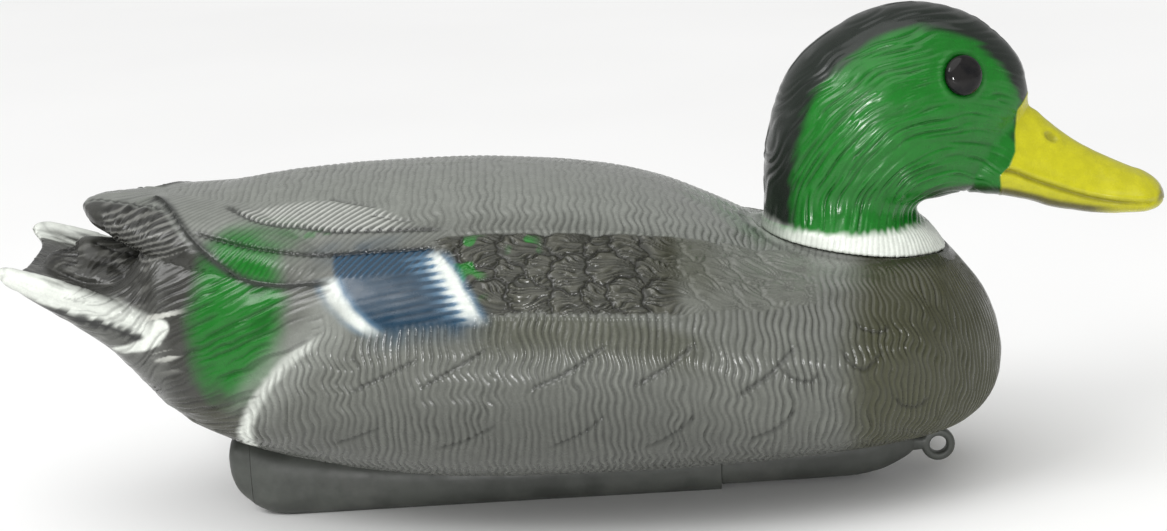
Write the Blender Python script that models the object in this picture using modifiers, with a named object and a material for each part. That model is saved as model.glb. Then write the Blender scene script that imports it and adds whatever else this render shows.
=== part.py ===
"""Floating mallard drake decoy: a hollow moulded hull with a plugged neck socket, a hollow head that
swivels in it, and a bolted-on ballast keel with a line eye at the front and a pull-out filler cap.

Run it with: blender --background --python part.py
Frame: +X to the bill, +Y to the duck's left, +Z up, origin under the middle of the object on the keel's sole.
All the design's numbers are in millimetres, and MM turns them into Blender's metres.
"""

import math

import bmesh
import bpy
from mathutils import Matrix, Vector

MM = 0.001
GAP = 0.3  # between faces that touch

# ---------------------------------------------------------------- driving dimensions
WALL = 2.6  # moulded wall of the hull and the head
HULL_RING = 36  # points round each hull section
HEAD_RING = 28

# Hull: station x, then top, underside, half width, height of the widest point, and how far the ring's
# middle is bowed forwards, which dishes the tail's rear edge.
HULL = (
    (-200.0, 95.8, 94.0, 32.5, 99.0, 6.5),
    (-198.2, 95.0, 90.8, 36.3, 99.9, 6.5),
    (-193.0, 93.5, 85.8, 38.0, 97.2, 6.0),
    (-186.0, 91.5, 80.6, 38.5, 93.4, 5.0),
    (-176.0, 89.5, 72.8, 38.6, 89.2, 3.5),
    (-166.0, 90.5, 64.2, 38.8, 86.0, 2.0),
    (-158.0, 95.5, 55.0, 39.5, 83.0, 1.0),
    (-152.0, 104.0, 47.8, 40.6, 80.4, 0.5),
    (-146.0, 113.3, 42.0, 42.2, 77.6, 0.0),
    (-134.0, 116.6, 34.0, 46.0, 73.0, 0.0),
    (-118.0, 118.9, 28.0, 52.5, 68.0, 0.0),
    (-98.0, 120.9, 23.5, 60.0, 64.0, 0.0),
    (-72.0, 121.8, 19.5, 68.0, 61.0, 0.0),
    (-45.0, 121.5, 17.4, 73.5, 59.0, 0.0),
    (-16.0, 119.3, 17.0, 76.5, 58.0, 0.0),
    (8.0, 115.7, 17.0, 77.0, 57.5, 0.0),
    (28.0, 109.8, 17.0, 76.0, 57.0, 0.0),
    (45.0, 102.0, 17.0, 73.8, 56.5, 0.0),
    (59.0, 95.2, 17.2, 71.0, 56.0, 0.0),
    (78.0, 92.5, 17.5, 65.5, 55.0, 0.0),
    (95.0, 92.2, 18.0, 58.5, 54.0, 0.0),
    (108.0, 93.0, 18.8, 51.5, 53.0, 0.0),
    (117.0, 91.5, 19.8, 45.0, 52.0, 0.0),
    (124.0, 84.0, 21.4, 38.5, 50.5, 0.0),
    (131.0, 75.5, 24.5, 30.0, 49.0, 0.0),
    (136.5, 68.0, 29.0, 21.5, 47.5, 0.0),
    (140.2, 59.5, 34.5, 13.5, 46.0, 0.0),
    (142.2, 52.0, 39.6, 6.4, 45.4, 0.0),
    (142.7, 48.0, 42.8, 2.6, 45.2, 0.0),
)
HULL_UPPER, HULL_LOWER = 2.15, 2.6  # how square the section is above and below its widest point

# The hull's hollow: station x, top, underside, half width, height of the widest point.
HOLLOW = (
    (-150.0, 91.0, 57.0, 24.0, 78.0),
    (-138.0, 106.5, 44.0, 36.0, 74.0),
    (-118.0, 115.0, 33.0, 47.5, 67.0),
    (-90.0, 118.0, 25.5, 60.0, 62.5),
    (-45.0, 118.2, 20.5, 70.8, 59.0),
    (8.0, 112.3, 20.0, 74.2, 57.5),
    (32.0, 104.0, 20.0, 72.2, 57.0),
    (52.0, 88.5, 20.2, 68.6, 55.0),
    (78.0, 82.5, 20.6, 62.0, 53.0),
    (106.0, 79.0, 22.0, 49.0, 51.0),
    (122.0, 72.0, 25.0, 36.5, 49.0),
    (135.0, 58.0, 34.0, 16.0, 46.5),
)

# Folded wing tips over the tail: station x, top, underside, half width, height of the edge.
WING_TIPS = (
    (-174.0, 114.6, 112.2, 3.0, 113.4),
    (-171.5, 115.9, 109.0, 10.0, 112.0),
    (-166.0, 116.8, 105.4, 17.5, 110.0),
    (-158.0, 116.9, 101.3, 25.0, 107.0),
    (-147.0, 117.0, 97.0, 32.5, 103.0),
    (-134.0, 117.5, 94.0, 39.2, 99.5),
    (-118.0, 117.4, 92.0, 45.6, 97.5),
    (-98.0, 114.0, 90.0, 52.0, 96.0),
    (-82.0, 110.0, 90.0, 52.0, 97.0),
)

# Upper tail coverts, the wedge between the wing tips and the tail.
COVERTS = (
    (-178.5, 100.4, 88.0, 4.0, 95.0),
    (-175.5, 102.2, 84.0, 9.0, 94.0),
    (-166.0, 101.2, 80.0, 14.0, 92.0),
    (-152.0, 101.5, 80.0, 18.0, 91.0),
    (-140.0, 100.0, 82.0, 16.0, 90.0),
)

# Neck joint: the middle of its seam, its lean towards the bill, and its radii and depths below the seam.
NECK = Vector((92.0, 0.0, 88.3))
NECK_LEAN = math.radians(8.7)
NECK_R = 32.0
SPIGOT_R, SPIGOT_BORE_R, SPIGOT_LEN = 24.0, 21.6, 16.0
BEAD, BEAD_DEPTH, BEAD_HALF = 1.0, 11.0, 1.6  # snap bead round the spigot
SOCKET_CLEAR = 0.4
SOCKET_DEPTH = 18.0
CUP_WALL = 2.4
VENT_R = 5.0

# Head: back x and z, front x and z, half width, and how much wider the back of the section is.
HEAD = (
    (60.37, 93.14, 123.63, 83.46, 31.9, 0.0),
    (61.0, 97.2, 120.2, 88.6, 30.8, 0.0),
    (61.2, 101.5, 116.2, 93.5, 28.6, 0.02),
    (61.4, 106.0, 114.2, 97.2, 27.0, 0.06),
    (61.6, 110.0, 118.0, 100.6, 26.2, 0.14),
    (61.8, 114.0, 128.5, 102.0, 25.8, 0.26),
    (62.1, 119.0, 139.5, 104.0, 25.9, 0.34),
    (63.2, 125.0, 146.5, 112.0, 26.5, 0.34),
    (64.8, 131.5, 149.5, 123.0, 26.9, 0.32),
    (67.0, 138.3, 154.0, 134.0, 26.4, 0.29),
    (70.0, 145.0, 151.9, 144.6, 24.9, 0.25),
    (74.8, 151.4, 148.6, 150.6, 22.6, 0.2),
    (80.3, 156.3, 143.2, 156.6, 19.6, 0.15),
    (87.5, 161.2, 136.3, 162.2, 15.9, 0.1),
    (95.5, 165.3, 128.5, 166.1, 11.5, 0.05),
    (103.5, 167.9, 120.0, 168.4, 6.2, 0.0),
    (109.0, 168.8, 114.0, 169.0, 2.0, 0.0),
)
HEAD_HOLLOW = (
    (66.0, 101.5, 110.0, 95.0, 22.0, 0.0),
    (65.0, 110.0, 113.0, 103.0, 21.5, 0.1),
    (66.0, 119.0, 130.0, 108.0, 21.5, 0.3),
    (68.5, 130.0, 142.0, 124.0, 22.0, 0.3),
    (74.0, 144.0, 147.0, 142.0, 20.5, 0.25),
    (85.0, 156.0, 138.0, 155.0, 15.0, 0.15),
    (100.0, 163.5, 123.0, 164.0, 6.0, 0.0),
)
# Bill: station x, top, underside, half width, height of the widest point.
BILL = (
    (136.0, 126.0, 104.5, 8.5, 111.0),
    (144.0, 129.0, 99.0, 11.2, 108.5),
    (150.0, 129.5, 97.6, 12.4, 107.0),
    (155.5, 130.5, 96.2, 12.2, 105.5),
    (159.0, 126.6, 95.4, 12.0, 104.5),
    (166.0, 120.4, 93.8, 11.8, 102.5),
    (175.0, 114.3, 92.2, 12.2, 100.0),
    (184.0, 109.7, 91.7, 12.9, 98.0),
    (191.0, 106.4, 91.7, 12.9, 97.0),
    (196.0, 103.6, 92.4, 10.6, 96.8),
    (199.0, 100.4, 94.2, 6.4, 96.8),
    (200.0, 98.4, 95.8, 2.4, 97.0),
)
BILL_UPPER, BILL_LOWER = 1.75, 2.2

EYE = Vector((128.8, 20.6, 146.2))  # middle of the left eye's rim
EYE_OUT = Vector((0.38, 1.0, 0.20))  # the way the eye looks
EYE_R, EYE_DOME, EYE_DEPTH, STEM_R, STEM_LEN = 6.8, 2.8, 1.2, 2.2, 4.5

# Keel: half widths and the underside, which is flat from SOLE_REAR to the step.
SOLE_REAR, KEEL_STEP = -108.0, 42.0
CAP_SEAM = -123.0
KEEL_TUBE = (  # station x, underside, half width
    (-123.0, 4.2, 13.2),
    (-119.0, 2.0, 13.7),
    (-114.0, 0.5, 14.0),
    (SOLE_REAR, 0.0, 14.0),
    (-70.0, 0.0, 13.2),
    (-20.0, 0.0, 12.2),
    (KEEL_STEP, 0.0, 11.2),
)
KEEL_CAP = ((-131.2, 18.0, 7.0), (-130.4, 14.0, 9.6), (-128.2, 9.2, 11.6), (CAP_SEAM - GAP, 4.4, 13.1))
CAP_TOP = ((-131.2, 23.0), (-130.4, 26.0), (-128.2, 27.6), (CAP_SEAM - GAP, 28.4))
KEEL_NOSE = (  # station x, underside, half width, top
    (KEEL_STEP + GAP, 1.7, 10.4, 16.6),
    (60.0, 1.7, 10.0, 16.6),
    (88.0, 1.9, 8.8, 16.8),
    (98.0, 3.2, 7.6, 16.9),
    (105.0, 5.6, 5.8, 16.4),
    (110.0, 8.0, 3.4, 14.2),
)
KEEL_UPPER, KEEL_LOWER = 2.7, 3.2  # how square the bar is above and below its middle
KEEL_PRESS = 1.12  # how far past its underside the bar would reach before it's pressed flat
KEEL_WALL = 2.2
KEEL_FIT = 0.4  # below the hull's middle line
EYELET = Vector((120.0, 0.0, 10.2))
EYELET_R, EYELET_HOLE_R, EYELET_HALF = 6.0, 3.0, 2.2
SCREW_X = {"front": 70.0, "rear": -96.0}
SCREW_R, SCREW_HEAD_R, SCREW_BITE = 2.0, 4.2, 9.0
PILLAR_R, COUNTERBORE_R, COUNTERBORE_DEEP = 6.6, 5.2, 6.5
BOSS_R, BOSS_HIGH = 6.5, 13.0
BALLAST_REAR, BALLAST_FRONT = -87.0, 26.0

# name: colour, roughness, metallic
FINISHES = {
    "hull_paint": ((0.20, 0.20, 0.19), 0.45, 0.0),
    "head_paint": ((0.02, 0.22, 0.05), 0.4, 0.0),
    "eye_black": ((0.01, 0.01, 0.012), 0.08, 0.0),
    "keel_plastic": ((0.055, 0.06, 0.06), 0.5, 0.0),
    "vent_plastic": ((0.02, 0.02, 0.02), 0.6, 0.0),
    "screw_steel": ((0.6, 0.6, 0.62), 0.3, 1.0),
    "washer_rubber": ((0.02, 0.02, 0.02), 0.8, 0.0),
    "ballast_sand": ((0.45, 0.36, 0.24), 0.95, 0.0),
}


# ---------------------------------------------------------------- helpers
def clear_scene():
    for obj in list(bpy.data.objects):
        bpy.data.objects.remove(obj)


def new_collection(name):
    collection = bpy.data.collections.new(name)
    bpy.context.scene.collection.children.link(collection)
    return collection


def finish_material(name):
    material = bpy.data.materials.get(name)
    if material is None:
        colour, roughness, metallic = FINISHES[name]
        material = bpy.data.materials.new(name)
        material.use_nodes = True
        shader = material.node_tree.nodes["Principled BSDF"]
        shader.inputs["Base Color"].default_value = (*colour, 1.0)
        shader.inputs["Roughness"].default_value = roughness
        shader.inputs["Metallic"].default_value = metallic
    return material


def profile(points):
    """A smooth function through (x, value) points that never overshoots them."""
    xs = [p[0] for p in points]
    vs = [p[1] for p in points]
    slopes = [(vs[i + 1] - vs[i]) / (xs[i + 1] - xs[i]) for i in range(len(xs) - 1)]
    tangents = [slopes[0]]
    for a, b in zip(slopes, slopes[1:]):
        tangents.append(0.0 if a * b <= 0 else 2 * a * b / (a + b))
    tangents.append(slopes[-1])

    def value(x):
        x = min(max(x, xs[0]), xs[-1])
        i = max(k for k in range(len(xs) - 1) if xs[k] <= x)
        width = xs[i + 1] - xs[i]
        t = (x - xs[i]) / width
        rise = vs[i] * (1 + 2 * t) * (1 - t) ** 2 + vs[i + 1] * t * t * (3 - 2 * t)
        return rise + width * (tangents[i] * t * (1 - t) ** 2 + tangents[i + 1] * t * t * (t - 1))

    return value


def superellipse(angle, power):
    """Unit (across, up) at an angle from straight up; power 2 is a circle and more is squarer."""
    s, c = math.sin(angle), math.cos(angle)
    return (
        math.copysign(abs(s) ** (2 / power), s),
        math.copysign(abs(c) ** (2 / power), c),
    )


def section(x, top, low, half, wide, upper, lower, count, bow=0.0):
    """A closed ring across X: its widest point is at height wide, and bow pushes its middle forwards."""
    ring = []
    for k in range(count):
        angle = 2 * math.pi * k / count
        power = upper if math.cos(angle) > 0 else lower
        across, up = superellipse(angle, power)
        height = wide + up * ((top - wide) if up > 0 else (wide - low))
        ring.append(Vector((x + bow * (1 - across * across), half * across, height)))
    return ring


def head_section(row, count):
    """A leaning ring from a point on the nape to a point on the face, wider towards the back."""
    back_x, back_z, front_x, front_z, half, egg = row
    ring = []
    for k in range(count):
        angle = 2 * math.pi * k / count
        share = (1 - math.cos(angle)) / 2
        ring.append(
            Vector(
                (
                    back_x + (front_x - back_x) * share,
                    half * math.sin(angle) * (1 + egg * math.cos(angle)),
                    back_z + (front_z - back_z) * share,
                )
            )
        )
    return ring


def add_mesh(name, mesh, collection, finish, origin=Vector()):
    obj = bpy.data.objects.new(name, mesh)
    obj.location = origin * MM
    if finish:
        mesh.materials.append(finish_material(finish))
    collection.objects.link(obj)
    return obj


def loft(name, rings, collection, finish=None, origin=Vector()):
    """A closed skin over rings of equal count, in millimetres, with its object origin at origin."""
    bm = bmesh.new()
    rows = [[bm.verts.new((p - origin) * MM) for p in ring] for ring in rings]
    count = len(rows[0])
    for first, second in zip(rows, rows[1:]):
        for k in range(count):
            bm.faces.new((first[k], first[(k + 1) % count], second[(k + 1) % count], second[k]))
    bm.faces.new(rows[0])
    bm.faces.new(rows[-1])
    bmesh.ops.recalc_face_normals(bm, faces=bm.faces)
    mesh = bpy.data.meshes.new(name)
    bm.to_mesh(mesh)
    bm.free()
    mesh.shade_smooth()
    mesh.set_sharp_from_angle(angle=math.radians(50))
    return add_mesh(name, mesh, collection, finish, origin)


def turned(name, outline, steps, collection, finish=None, origin=Vector(), rotation=(0, 0, 0), ring=False):
    """A shape spun about its own Z from (radius, height) points that run down its outer side."""
    bm = bmesh.new()
    verts = [bm.verts.new((r * MM, 0, z * MM)) for r, z in outline]
    for a, b in zip(verts, verts[1:]):
        bm.edges.new((a, b))
    if ring:
        bm.edges.new((verts[-1], verts[0]))
    mesh = bpy.data.meshes.new(name)
    bm.to_mesh(mesh)
    bm.free()
    obj = add_mesh(name, mesh, collection, finish, origin)
    obj.rotation_euler = rotation
    screw = obj.modifiers.new("spin", "SCREW")
    screw.steps = screw.render_steps = steps
    screw.use_merge_vertices = True
    screw.merge_threshold = 0.00001
    screw.use_smooth_shade = True
    return obj


def boolean(target, other, operation):
    modifier = target.modifiers.new(operation.lower() + "_" + other.name, "BOOLEAN")
    modifier.operation = operation
    modifier.object = other
    modifier.solver = "EXACT"


def helper(obj):
    """Marks a cutter or a joined shape, which isn't a part of its own."""
    obj.hide_render = True
    obj.display_type = "WIRE"
    return obj


def neck_point(depth):
    """A point on the swivel axis, that far below the seam."""
    return NECK - Vector((math.sin(NECK_LEAN), 0, math.cos(NECK_LEAN))) * depth


NECK_TURN = (0, NECK_LEAN, 0)
UPRIGHT = (0, 0, math.radians(7))  # keeps the seam of an upright turned shape off the middle line


def table(rows, column):
    return profile([(row[0], row[column]) for row in rows])


# ---------------------------------------------------------------- hull
def hull_rings():
    rings = []
    for x, top, low, half, wide, bow in HULL:
        rings.append(section(x, top, low, half, wide, HULL_UPPER, HULL_LOWER, HULL_RING, bow))
    return rings


def tapered_rings(rows, upper, lower, count):
    return [section(x, top, low, half, wide, upper, lower, count) for x, top, low, half, wide in rows]


def hull_floor(x):
    """Height of the hull's underside at its middle line."""
    for a, b in zip(HULL, HULL[1:]):
        if a[0] <= x <= b[0]:
            return a[2] + (b[2] - a[2]) * (x - a[0]) / (b[0] - a[0])


def build_hull(parts, cutters):
    """Blow-moulded shell with the wings and tail in one piece, a closed cup for the neck and two screw bosses."""
    hull = loft("body_shell", hull_rings(), parts, "hull_paint")

    wings = helper(loft("wing_tips", tapered_rings(WING_TIPS, 2.2, 2.2, 20), cutters))
    boolean(hull, wings, "UNION")
    coverts = helper(loft("tail_coverts", tapered_rings(COVERTS, 2.2, 2.0, 16), cutters))
    boolean(hull, coverts, "UNION")
    collar_outline = [(0, -0.0), (NECK_R, 0), (NECK_R + 3, -6), (NECK_R + 8, -14), (0, -14)]
    collar = helper(turned("neck_collar", collar_outline, 40, cutters, None, NECK, NECK_TURN))
    boolean(hull, collar, "UNION")

    hollow = helper(loft("hull_hollow", tapered_rings(HOLLOW, 2.1, 2.6, 24), cutters))
    cup_outline = [(0, 30), (SPIGOT_R + SOCKET_CLEAR + CUP_WALL, 30)]
    cup_outline += [(SPIGOT_R + SOCKET_CLEAR + CUP_WALL, -SOCKET_DEPTH - CUP_WALL), (0, -SOCKET_DEPTH - CUP_WALL)]
    cup = helper(turned("cup_form", cup_outline, 32, cutters, None, NECK, NECK_TURN))
    boolean(hollow, cup, "DIFFERENCE")
    for where, x in SCREW_X.items():
        floor = hull_floor(x)
        boss_outline = [(0, BOSS_HIGH), (BOSS_R, BOSS_HIGH), (BOSS_R + 1.5, -6), (0, -6)]
        boss = helper(turned("boss_form_" + where, boss_outline, 16, cutters, None, Vector((x, 0, floor)), UPRIGHT))
        boolean(hollow, boss, "DIFFERENCE")
    boolean(hull, hollow, "DIFFERENCE")

    r = SPIGOT_R + SOCKET_CLEAR
    groove = BEAD_HALF + SOCKET_CLEAR
    socket_outline = [
        (0, 30), (NECK_R + GAP, 30), (NECK_R + GAP, 0), (r, 0), (r, -BEAD_DEPTH + groove + BEAD),
        (r + BEAD, -BEAD_DEPTH + groove), (r + BEAD, -BEAD_DEPTH - groove), (r, -BEAD_DEPTH - groove - BEAD),
        (r, -SOCKET_DEPTH), (VENT_R, -SOCKET_DEPTH), (VENT_R, -SOCKET_DEPTH - 8), (0, -SOCKET_DEPTH - 8),
    ]
    socket = helper(turned("neck_socket", socket_outline, 40, cutters, None, NECK, NECK_TURN))
    boolean(hull, socket, "DIFFERENCE")

    for where, x in SCREW_X.items():
        pilot_outline = [(0, SCREW_BITE + 1), (SCREW_R + GAP, SCREW_BITE + 1), (SCREW_R + GAP, -10), (0, -10)]
        pilot = helper(turned("pilot_" + where, pilot_outline, 16, cutters, None, Vector((x, 0, hull_floor(x))), UPRIGHT))
        boolean(hull, pilot, "DIFFERENCE")

    plug_outline = [
        (0, 3.2), (3.4, 3.2), (4.0, 2.6), (4.0, 1.5), (7.4, 1.5), (7.8, 1.1), (7.8, GAP),
        (VENT_R - GAP, GAP), (VENT_R - GAP, -3.2), (VENT_R - 1.4, -5.0), (0, -5.0),
    ]
    turned("vent_plug", plug_outline, 20, parts, "vent_plastic", neck_point(SOCKET_DEPTH), NECK_TURN)


# ---------------------------------------------------------------- head
def eye_turn(side):
    out = Vector((EYE_OUT.x, side * EYE_OUT.y, EYE_OUT.z))
    return out.to_track_quat("Z", "X").to_euler()


def build_head(parts, cutters):
    """Hollow head, neck and bill in one moulding, with a snap spigot below the seam and a seat for each eye."""
    rings = [head_section(row, HEAD_RING) for row in HEAD]
    rings[0] = [p + Vector((math.sin(NECK_LEAN), 0, math.cos(NECK_LEAN))) * GAP for p in rings[0]]
    head = loft("head_shell", rings, parts, "head_paint", NECK)
    bill = helper(loft("bill_form", tapered_rings(BILL, BILL_UPPER, BILL_LOWER, 24), cutters))
    boolean(head, bill, "UNION")

    spigot_outline = [
        (0, 9), (SPIGOT_R - 1, 9), (SPIGOT_R, 3), (SPIGOT_R, -BEAD_DEPTH + BEAD_HALF + BEAD),
        (SPIGOT_R + BEAD, -BEAD_DEPTH + BEAD_HALF), (SPIGOT_R + BEAD, -BEAD_DEPTH - BEAD_HALF),
        (SPIGOT_R, -BEAD_DEPTH - BEAD_HALF - BEAD), (SPIGOT_R, -SPIGOT_LEN + 1),
        (SPIGOT_R - 1, -SPIGOT_LEN), (0, -SPIGOT_LEN),
    ]
    spigot = helper(turned("spigot_form", spigot_outline, 36, cutters, None, NECK, NECK_TURN))
    boolean(head, spigot, "UNION")

    hollow = helper(loft("head_hollow", [head_section(row, 20) for row in HEAD_HOLLOW], cutters))
    bore_outline = [(0, 14), (SPIGOT_BORE_R - 2, 14), (SPIGOT_BORE_R, 6), (SPIGOT_BORE_R, -30), (0, -30)]
    bore = helper(turned("spigot_bore", bore_outline, 28, cutters, None, NECK, NECK_TURN))
    boolean(hollow, bore, "UNION")
    boolean(head, hollow, "DIFFERENCE")

    for name, side in (("left", 1), ("right", -1)):
        at = Vector((EYE.x, side * EYE.y, EYE.z))
        seat_outline = [
            (0, 8), (EYE_R + GAP, 8), (EYE_R + GAP, -EYE_DEPTH - GAP), (STEM_R + GAP, -EYE_DEPTH - GAP),
            (STEM_R + GAP, -EYE_DEPTH - STEM_LEN - 3), (0, -EYE_DEPTH - STEM_LEN - 3),
        ]
        seat = helper(turned("eye_seat_" + name, seat_outline, 24, cutters, None, at, eye_turn(side)))
        boolean(head, seat, "DIFFERENCE")
        dome = [
            (EYE_R * math.sin(a), EYE_DOME * math.cos(a)) for a in (math.pi / 2 * k / 7 for k in range(8))
        ]
        stem = [(EYE_R, -EYE_DEPTH), (STEM_R, -EYE_DEPTH), (STEM_R, -EYE_DEPTH - STEM_LEN)]
        stem += [(0, -EYE_DEPTH - STEM_LEN)]
        turned("eye_" + name, dome + stem, 24, parts, "eye_black", at, eye_turn(side))


# ---------------------------------------------------------------- keel
def keel_section(x, low, half, top, count=24):
    """A rounded bar whose underside is pressed flat at its lowest height."""
    middle = (top + low) / 2
    ring = []
    for k in range(count):
        angle = 2 * math.pi * k / count
        across, up = superellipse(angle, KEEL_UPPER if math.cos(angle) > 0 else KEEL_LOWER)
        reach = (top - middle) if up > 0 else (middle - low) * KEEL_PRESS
        ring.append(Vector((x, half * across, max(middle + up * reach, low))))
    return ring


def keel_rings(first, last, inset=0.0, count=24):
    """Rings of the tube from first to last, with one under every hull station so that the two run parallel."""
    low, half = table(KEEL_TUBE, 1), table(KEEL_TUBE, 2)
    stations = {row[0] for row in KEEL_TUBE} | {row[0] for row in HULL} | {first, last}
    rings = []
    for x in sorted(x for x in stations if first <= x <= last):
        top = hull_floor(x) - KEEL_FIT
        rings.append(keel_section(x, low(x) + inset, half(x) - inset, top - inset, count))
    return rings


def build_keel(parts, cutters):
    """Sand-filled tube under the hull, its front plug with the line eye, and the filler cap at the rear."""
    tube = loft("keel_tube", keel_rings(CAP_SEAM, KEEL_STEP), parts, "keel_plastic")
    hollow_rings = keel_rings(CAP_SEAM, KEEL_STEP, KEEL_WALL, 20)
    hollow_rings[0] = [p + Vector((-2, 0, 0)) for p in hollow_rings[0]]
    hollow_rings[-1] = [p + Vector((2, 0, 0)) for p in hollow_rings[-1]]
    hollow = helper(loft("tube_hollow", hollow_rings, cutters))
    rear_x = SCREW_X["rear"]
    pillar_outline = [(0, 60), (PILLAR_R, 60), (PILLAR_R, -10), (0, -10)]
    pillar = helper(turned("pillar_form", pillar_outline, 20, cutters, None, Vector((rear_x, 0, 0)), UPRIGHT))
    boolean(hollow, pillar, "DIFFERENCE")
    boolean(tube, hollow, "DIFFERENCE")

    nose_rings = [keel_section(x, low_, half_, top_) for x, low_, half_, top_ in KEEL_NOSE]
    nose = loft("keel_nose", nose_rings, parts, "keel_plastic")
    plug_rings = keel_rings(BALLAST_FRONT + 2, KEEL_STEP, KEEL_WALL + GAP, 20)
    plug_rings[-1] = [p + Vector((4, 0, 0)) for p in plug_rings[-1]]
    plug = helper(loft("nose_plug", plug_rings, cutters))
    boolean(nose, plug, "UNION")
    neck_rings = [keel_section(x, 11.0 - r, r, 11.0 + r, 12) for x, r in ((104.0, 3.0), (116.2, 2.1))]
    neck = helper(loft("eyelet_neck", neck_rings, cutters))
    boolean(nose, neck, "UNION")
    eyelet_outline = [
        (EYELET_R - 0.7, EYELET_HALF), (EYELET_R, EYELET_HALF - 0.7), (EYELET_R, -EYELET_HALF + 0.7),
        (EYELET_R - 0.7, -EYELET_HALF), (EYELET_HOLE_R + 0.5, -EYELET_HALF), (EYELET_HOLE_R, -EYELET_HALF + 0.5),
        (EYELET_HOLE_R, EYELET_HALF - 0.5), (EYELET_HOLE_R + 0.5, EYELET_HALF),
    ]
    across = (math.pi / 2, 0, 0)
    eyelet = helper(turned("eyelet_form", eyelet_outline, 28, cutters, None, EYELET, across, ring=True))
    boolean(nose, eyelet, "UNION")

    cap_top = profile(CAP_TOP)
    cap_rings = [keel_section(x, low_, half_, cap_top(x)) for x, low_, half_ in KEEL_CAP]
    cap = loft("keel_cap", cap_rings, parts, "keel_plastic", Vector((CAP_SEAM, 0, 15.5)))
    cap_plug_rings = []
    for x, trim in ((CAP_SEAM - 3, 0.4), (-113.0, 0.4), (-111.5, 1.4)):
        inset = KEEL_WALL + trim + GAP
        cap_plug_rings.append(keel_section(x, 4.2 + inset, 13.0 - inset, 27.0 - inset, 20))
    cap_plug = helper(loft("cap_plug", cap_plug_rings, cutters))
    boolean(cap, cap_plug, "UNION")

    ballast_rings = keel_rings(BALLAST_REAR, BALLAST_FRONT, KEEL_WALL + GAP, 20)
    loft("keel_ballast", ballast_rings, parts, "ballast_sand")

    for where, x in SCREW_X.items():
        owner = nose if where == "front" else tube
        hole_outline = [
            (0, 60), (SCREW_R + GAP, 60), (SCREW_R + GAP, COUNTERBORE_DEEP),
            (COUNTERBORE_R, COUNTERBORE_DEEP), (COUNTERBORE_R, -5), (0, -5),
        ]
        hole = helper(turned("screw_hole_" + where, hole_outline, 20, cutters, None, Vector((x, 0, 0)), UPRIGHT))
        boolean(owner, hole, "DIFFERENCE")
        build_screw(where, x, parts, cutters)


def build_screw(where, x, parts, cutters):
    """Pan-head screw from below, with a sealing washer under its head."""
    seat = COUNTERBORE_DEEP - GAP
    washer_outline = [
        (SCREW_HEAD_R + 0.5, seat), (SCREW_HEAD_R + 0.5, seat - 1.1), (SCREW_R + GAP, seat - 1.1), (SCREW_R + GAP, seat),
    ]
    turned("screw_washer_" + where, washer_outline, 20, parts, "washer_rubber", Vector((x, 0, 0)), ring=True)
    under = seat - 1.1 - GAP
    tip = hull_floor(x) + SCREW_BITE
    outline = [
        (0, tip), (SCREW_R * 0.5, tip - 1.6), (SCREW_R, tip - 4.5), (SCREW_R, under), (SCREW_HEAD_R, under),
        (SCREW_HEAD_R, under - 1.0), (SCREW_HEAD_R - 0.7, under - 1.9), (SCREW_HEAD_R - 2.2, under - 2.5),
        (0, under - 2.7),
    ]
    screw = turned("keel_screw_" + where, outline, 20, parts, "screw_steel", Vector((x, 0, 0)))
    for k in range(2):
        size = Vector((4.6, 0.9, 3.2)) if k else Vector((0.9, 4.6, 3.2))
        mesh = bpy.data.meshes.new("slot")
        bm = bmesh.new()
        bmesh.ops.create_cube(bm, size=1.0, matrix=Matrix.Diagonal((*(size * MM), 1)))
        bm.to_mesh(mesh)
        bm.free()
        name = "drive_slot_" + where + "_" + str(k)
        slot = helper(add_mesh(name, mesh, cutters, None, Vector((x, 0, under - 2.7))))
        boolean(screw, slot, "DIFFERENCE")


def main():
    clear_scene()
    parts = new_collection("duck_decoy")
    cutters = new_collection("cutters")
    build_hull(parts, cutters)
    build_head(parts, cutters)
    build_keel(parts, cutters)


main()
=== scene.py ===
"""Looks for the floating mallard drake decoy: moulded feather relief, sprayed paint, bill, eyes
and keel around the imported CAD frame, with a floor, studio lights and a camera.

Lengths are in millimetres in the object's frame until a mesh is made. MM turns them into metres.
The hull is handled in two numbers: x, and g, the way down its skin from the middle of the back.
"""

import math
from types import SimpleNamespace

import bmesh
import bpy
import numpy as np
from mathutils import Matrix, Vector


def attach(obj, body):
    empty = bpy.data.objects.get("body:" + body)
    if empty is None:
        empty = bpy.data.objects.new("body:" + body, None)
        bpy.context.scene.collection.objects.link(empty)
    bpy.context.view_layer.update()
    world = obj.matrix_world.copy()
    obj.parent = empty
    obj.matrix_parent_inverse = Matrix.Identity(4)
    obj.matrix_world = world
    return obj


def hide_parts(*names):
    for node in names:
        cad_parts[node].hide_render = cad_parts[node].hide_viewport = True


MM = 0.001
HULL_VOXEL, HEAD_VOXEL, NOSE_VOXEL = ((0.5, 0.45, 0.35))
RELAX_ROUNDS, BLEND_ROUNDS = ((8, 90))

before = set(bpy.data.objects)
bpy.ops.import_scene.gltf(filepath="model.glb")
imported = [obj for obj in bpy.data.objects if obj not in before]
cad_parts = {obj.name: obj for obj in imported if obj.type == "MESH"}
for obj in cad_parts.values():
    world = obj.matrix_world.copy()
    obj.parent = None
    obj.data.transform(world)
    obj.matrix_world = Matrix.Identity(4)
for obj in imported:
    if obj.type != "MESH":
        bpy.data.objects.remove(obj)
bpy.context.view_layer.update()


# ---- small maths
def srgb(r, g, b):
    """A colour given as 0-255 screen values, as linear light."""
    c = np.array((r, g, b), float) / 255
    return np.where(c <= 0.04045, c / 12.92, ((c + 0.055) / 1.055) ** 2.4)


def ramp(lo, hi, v):
    """0 below lo, 1 above hi, smooth between. lo may be the larger, which turns it round."""
    t = np.clip((v - lo) / (hi - lo), 0, 1)
    return t * t * (3 - 2 * t)


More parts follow.
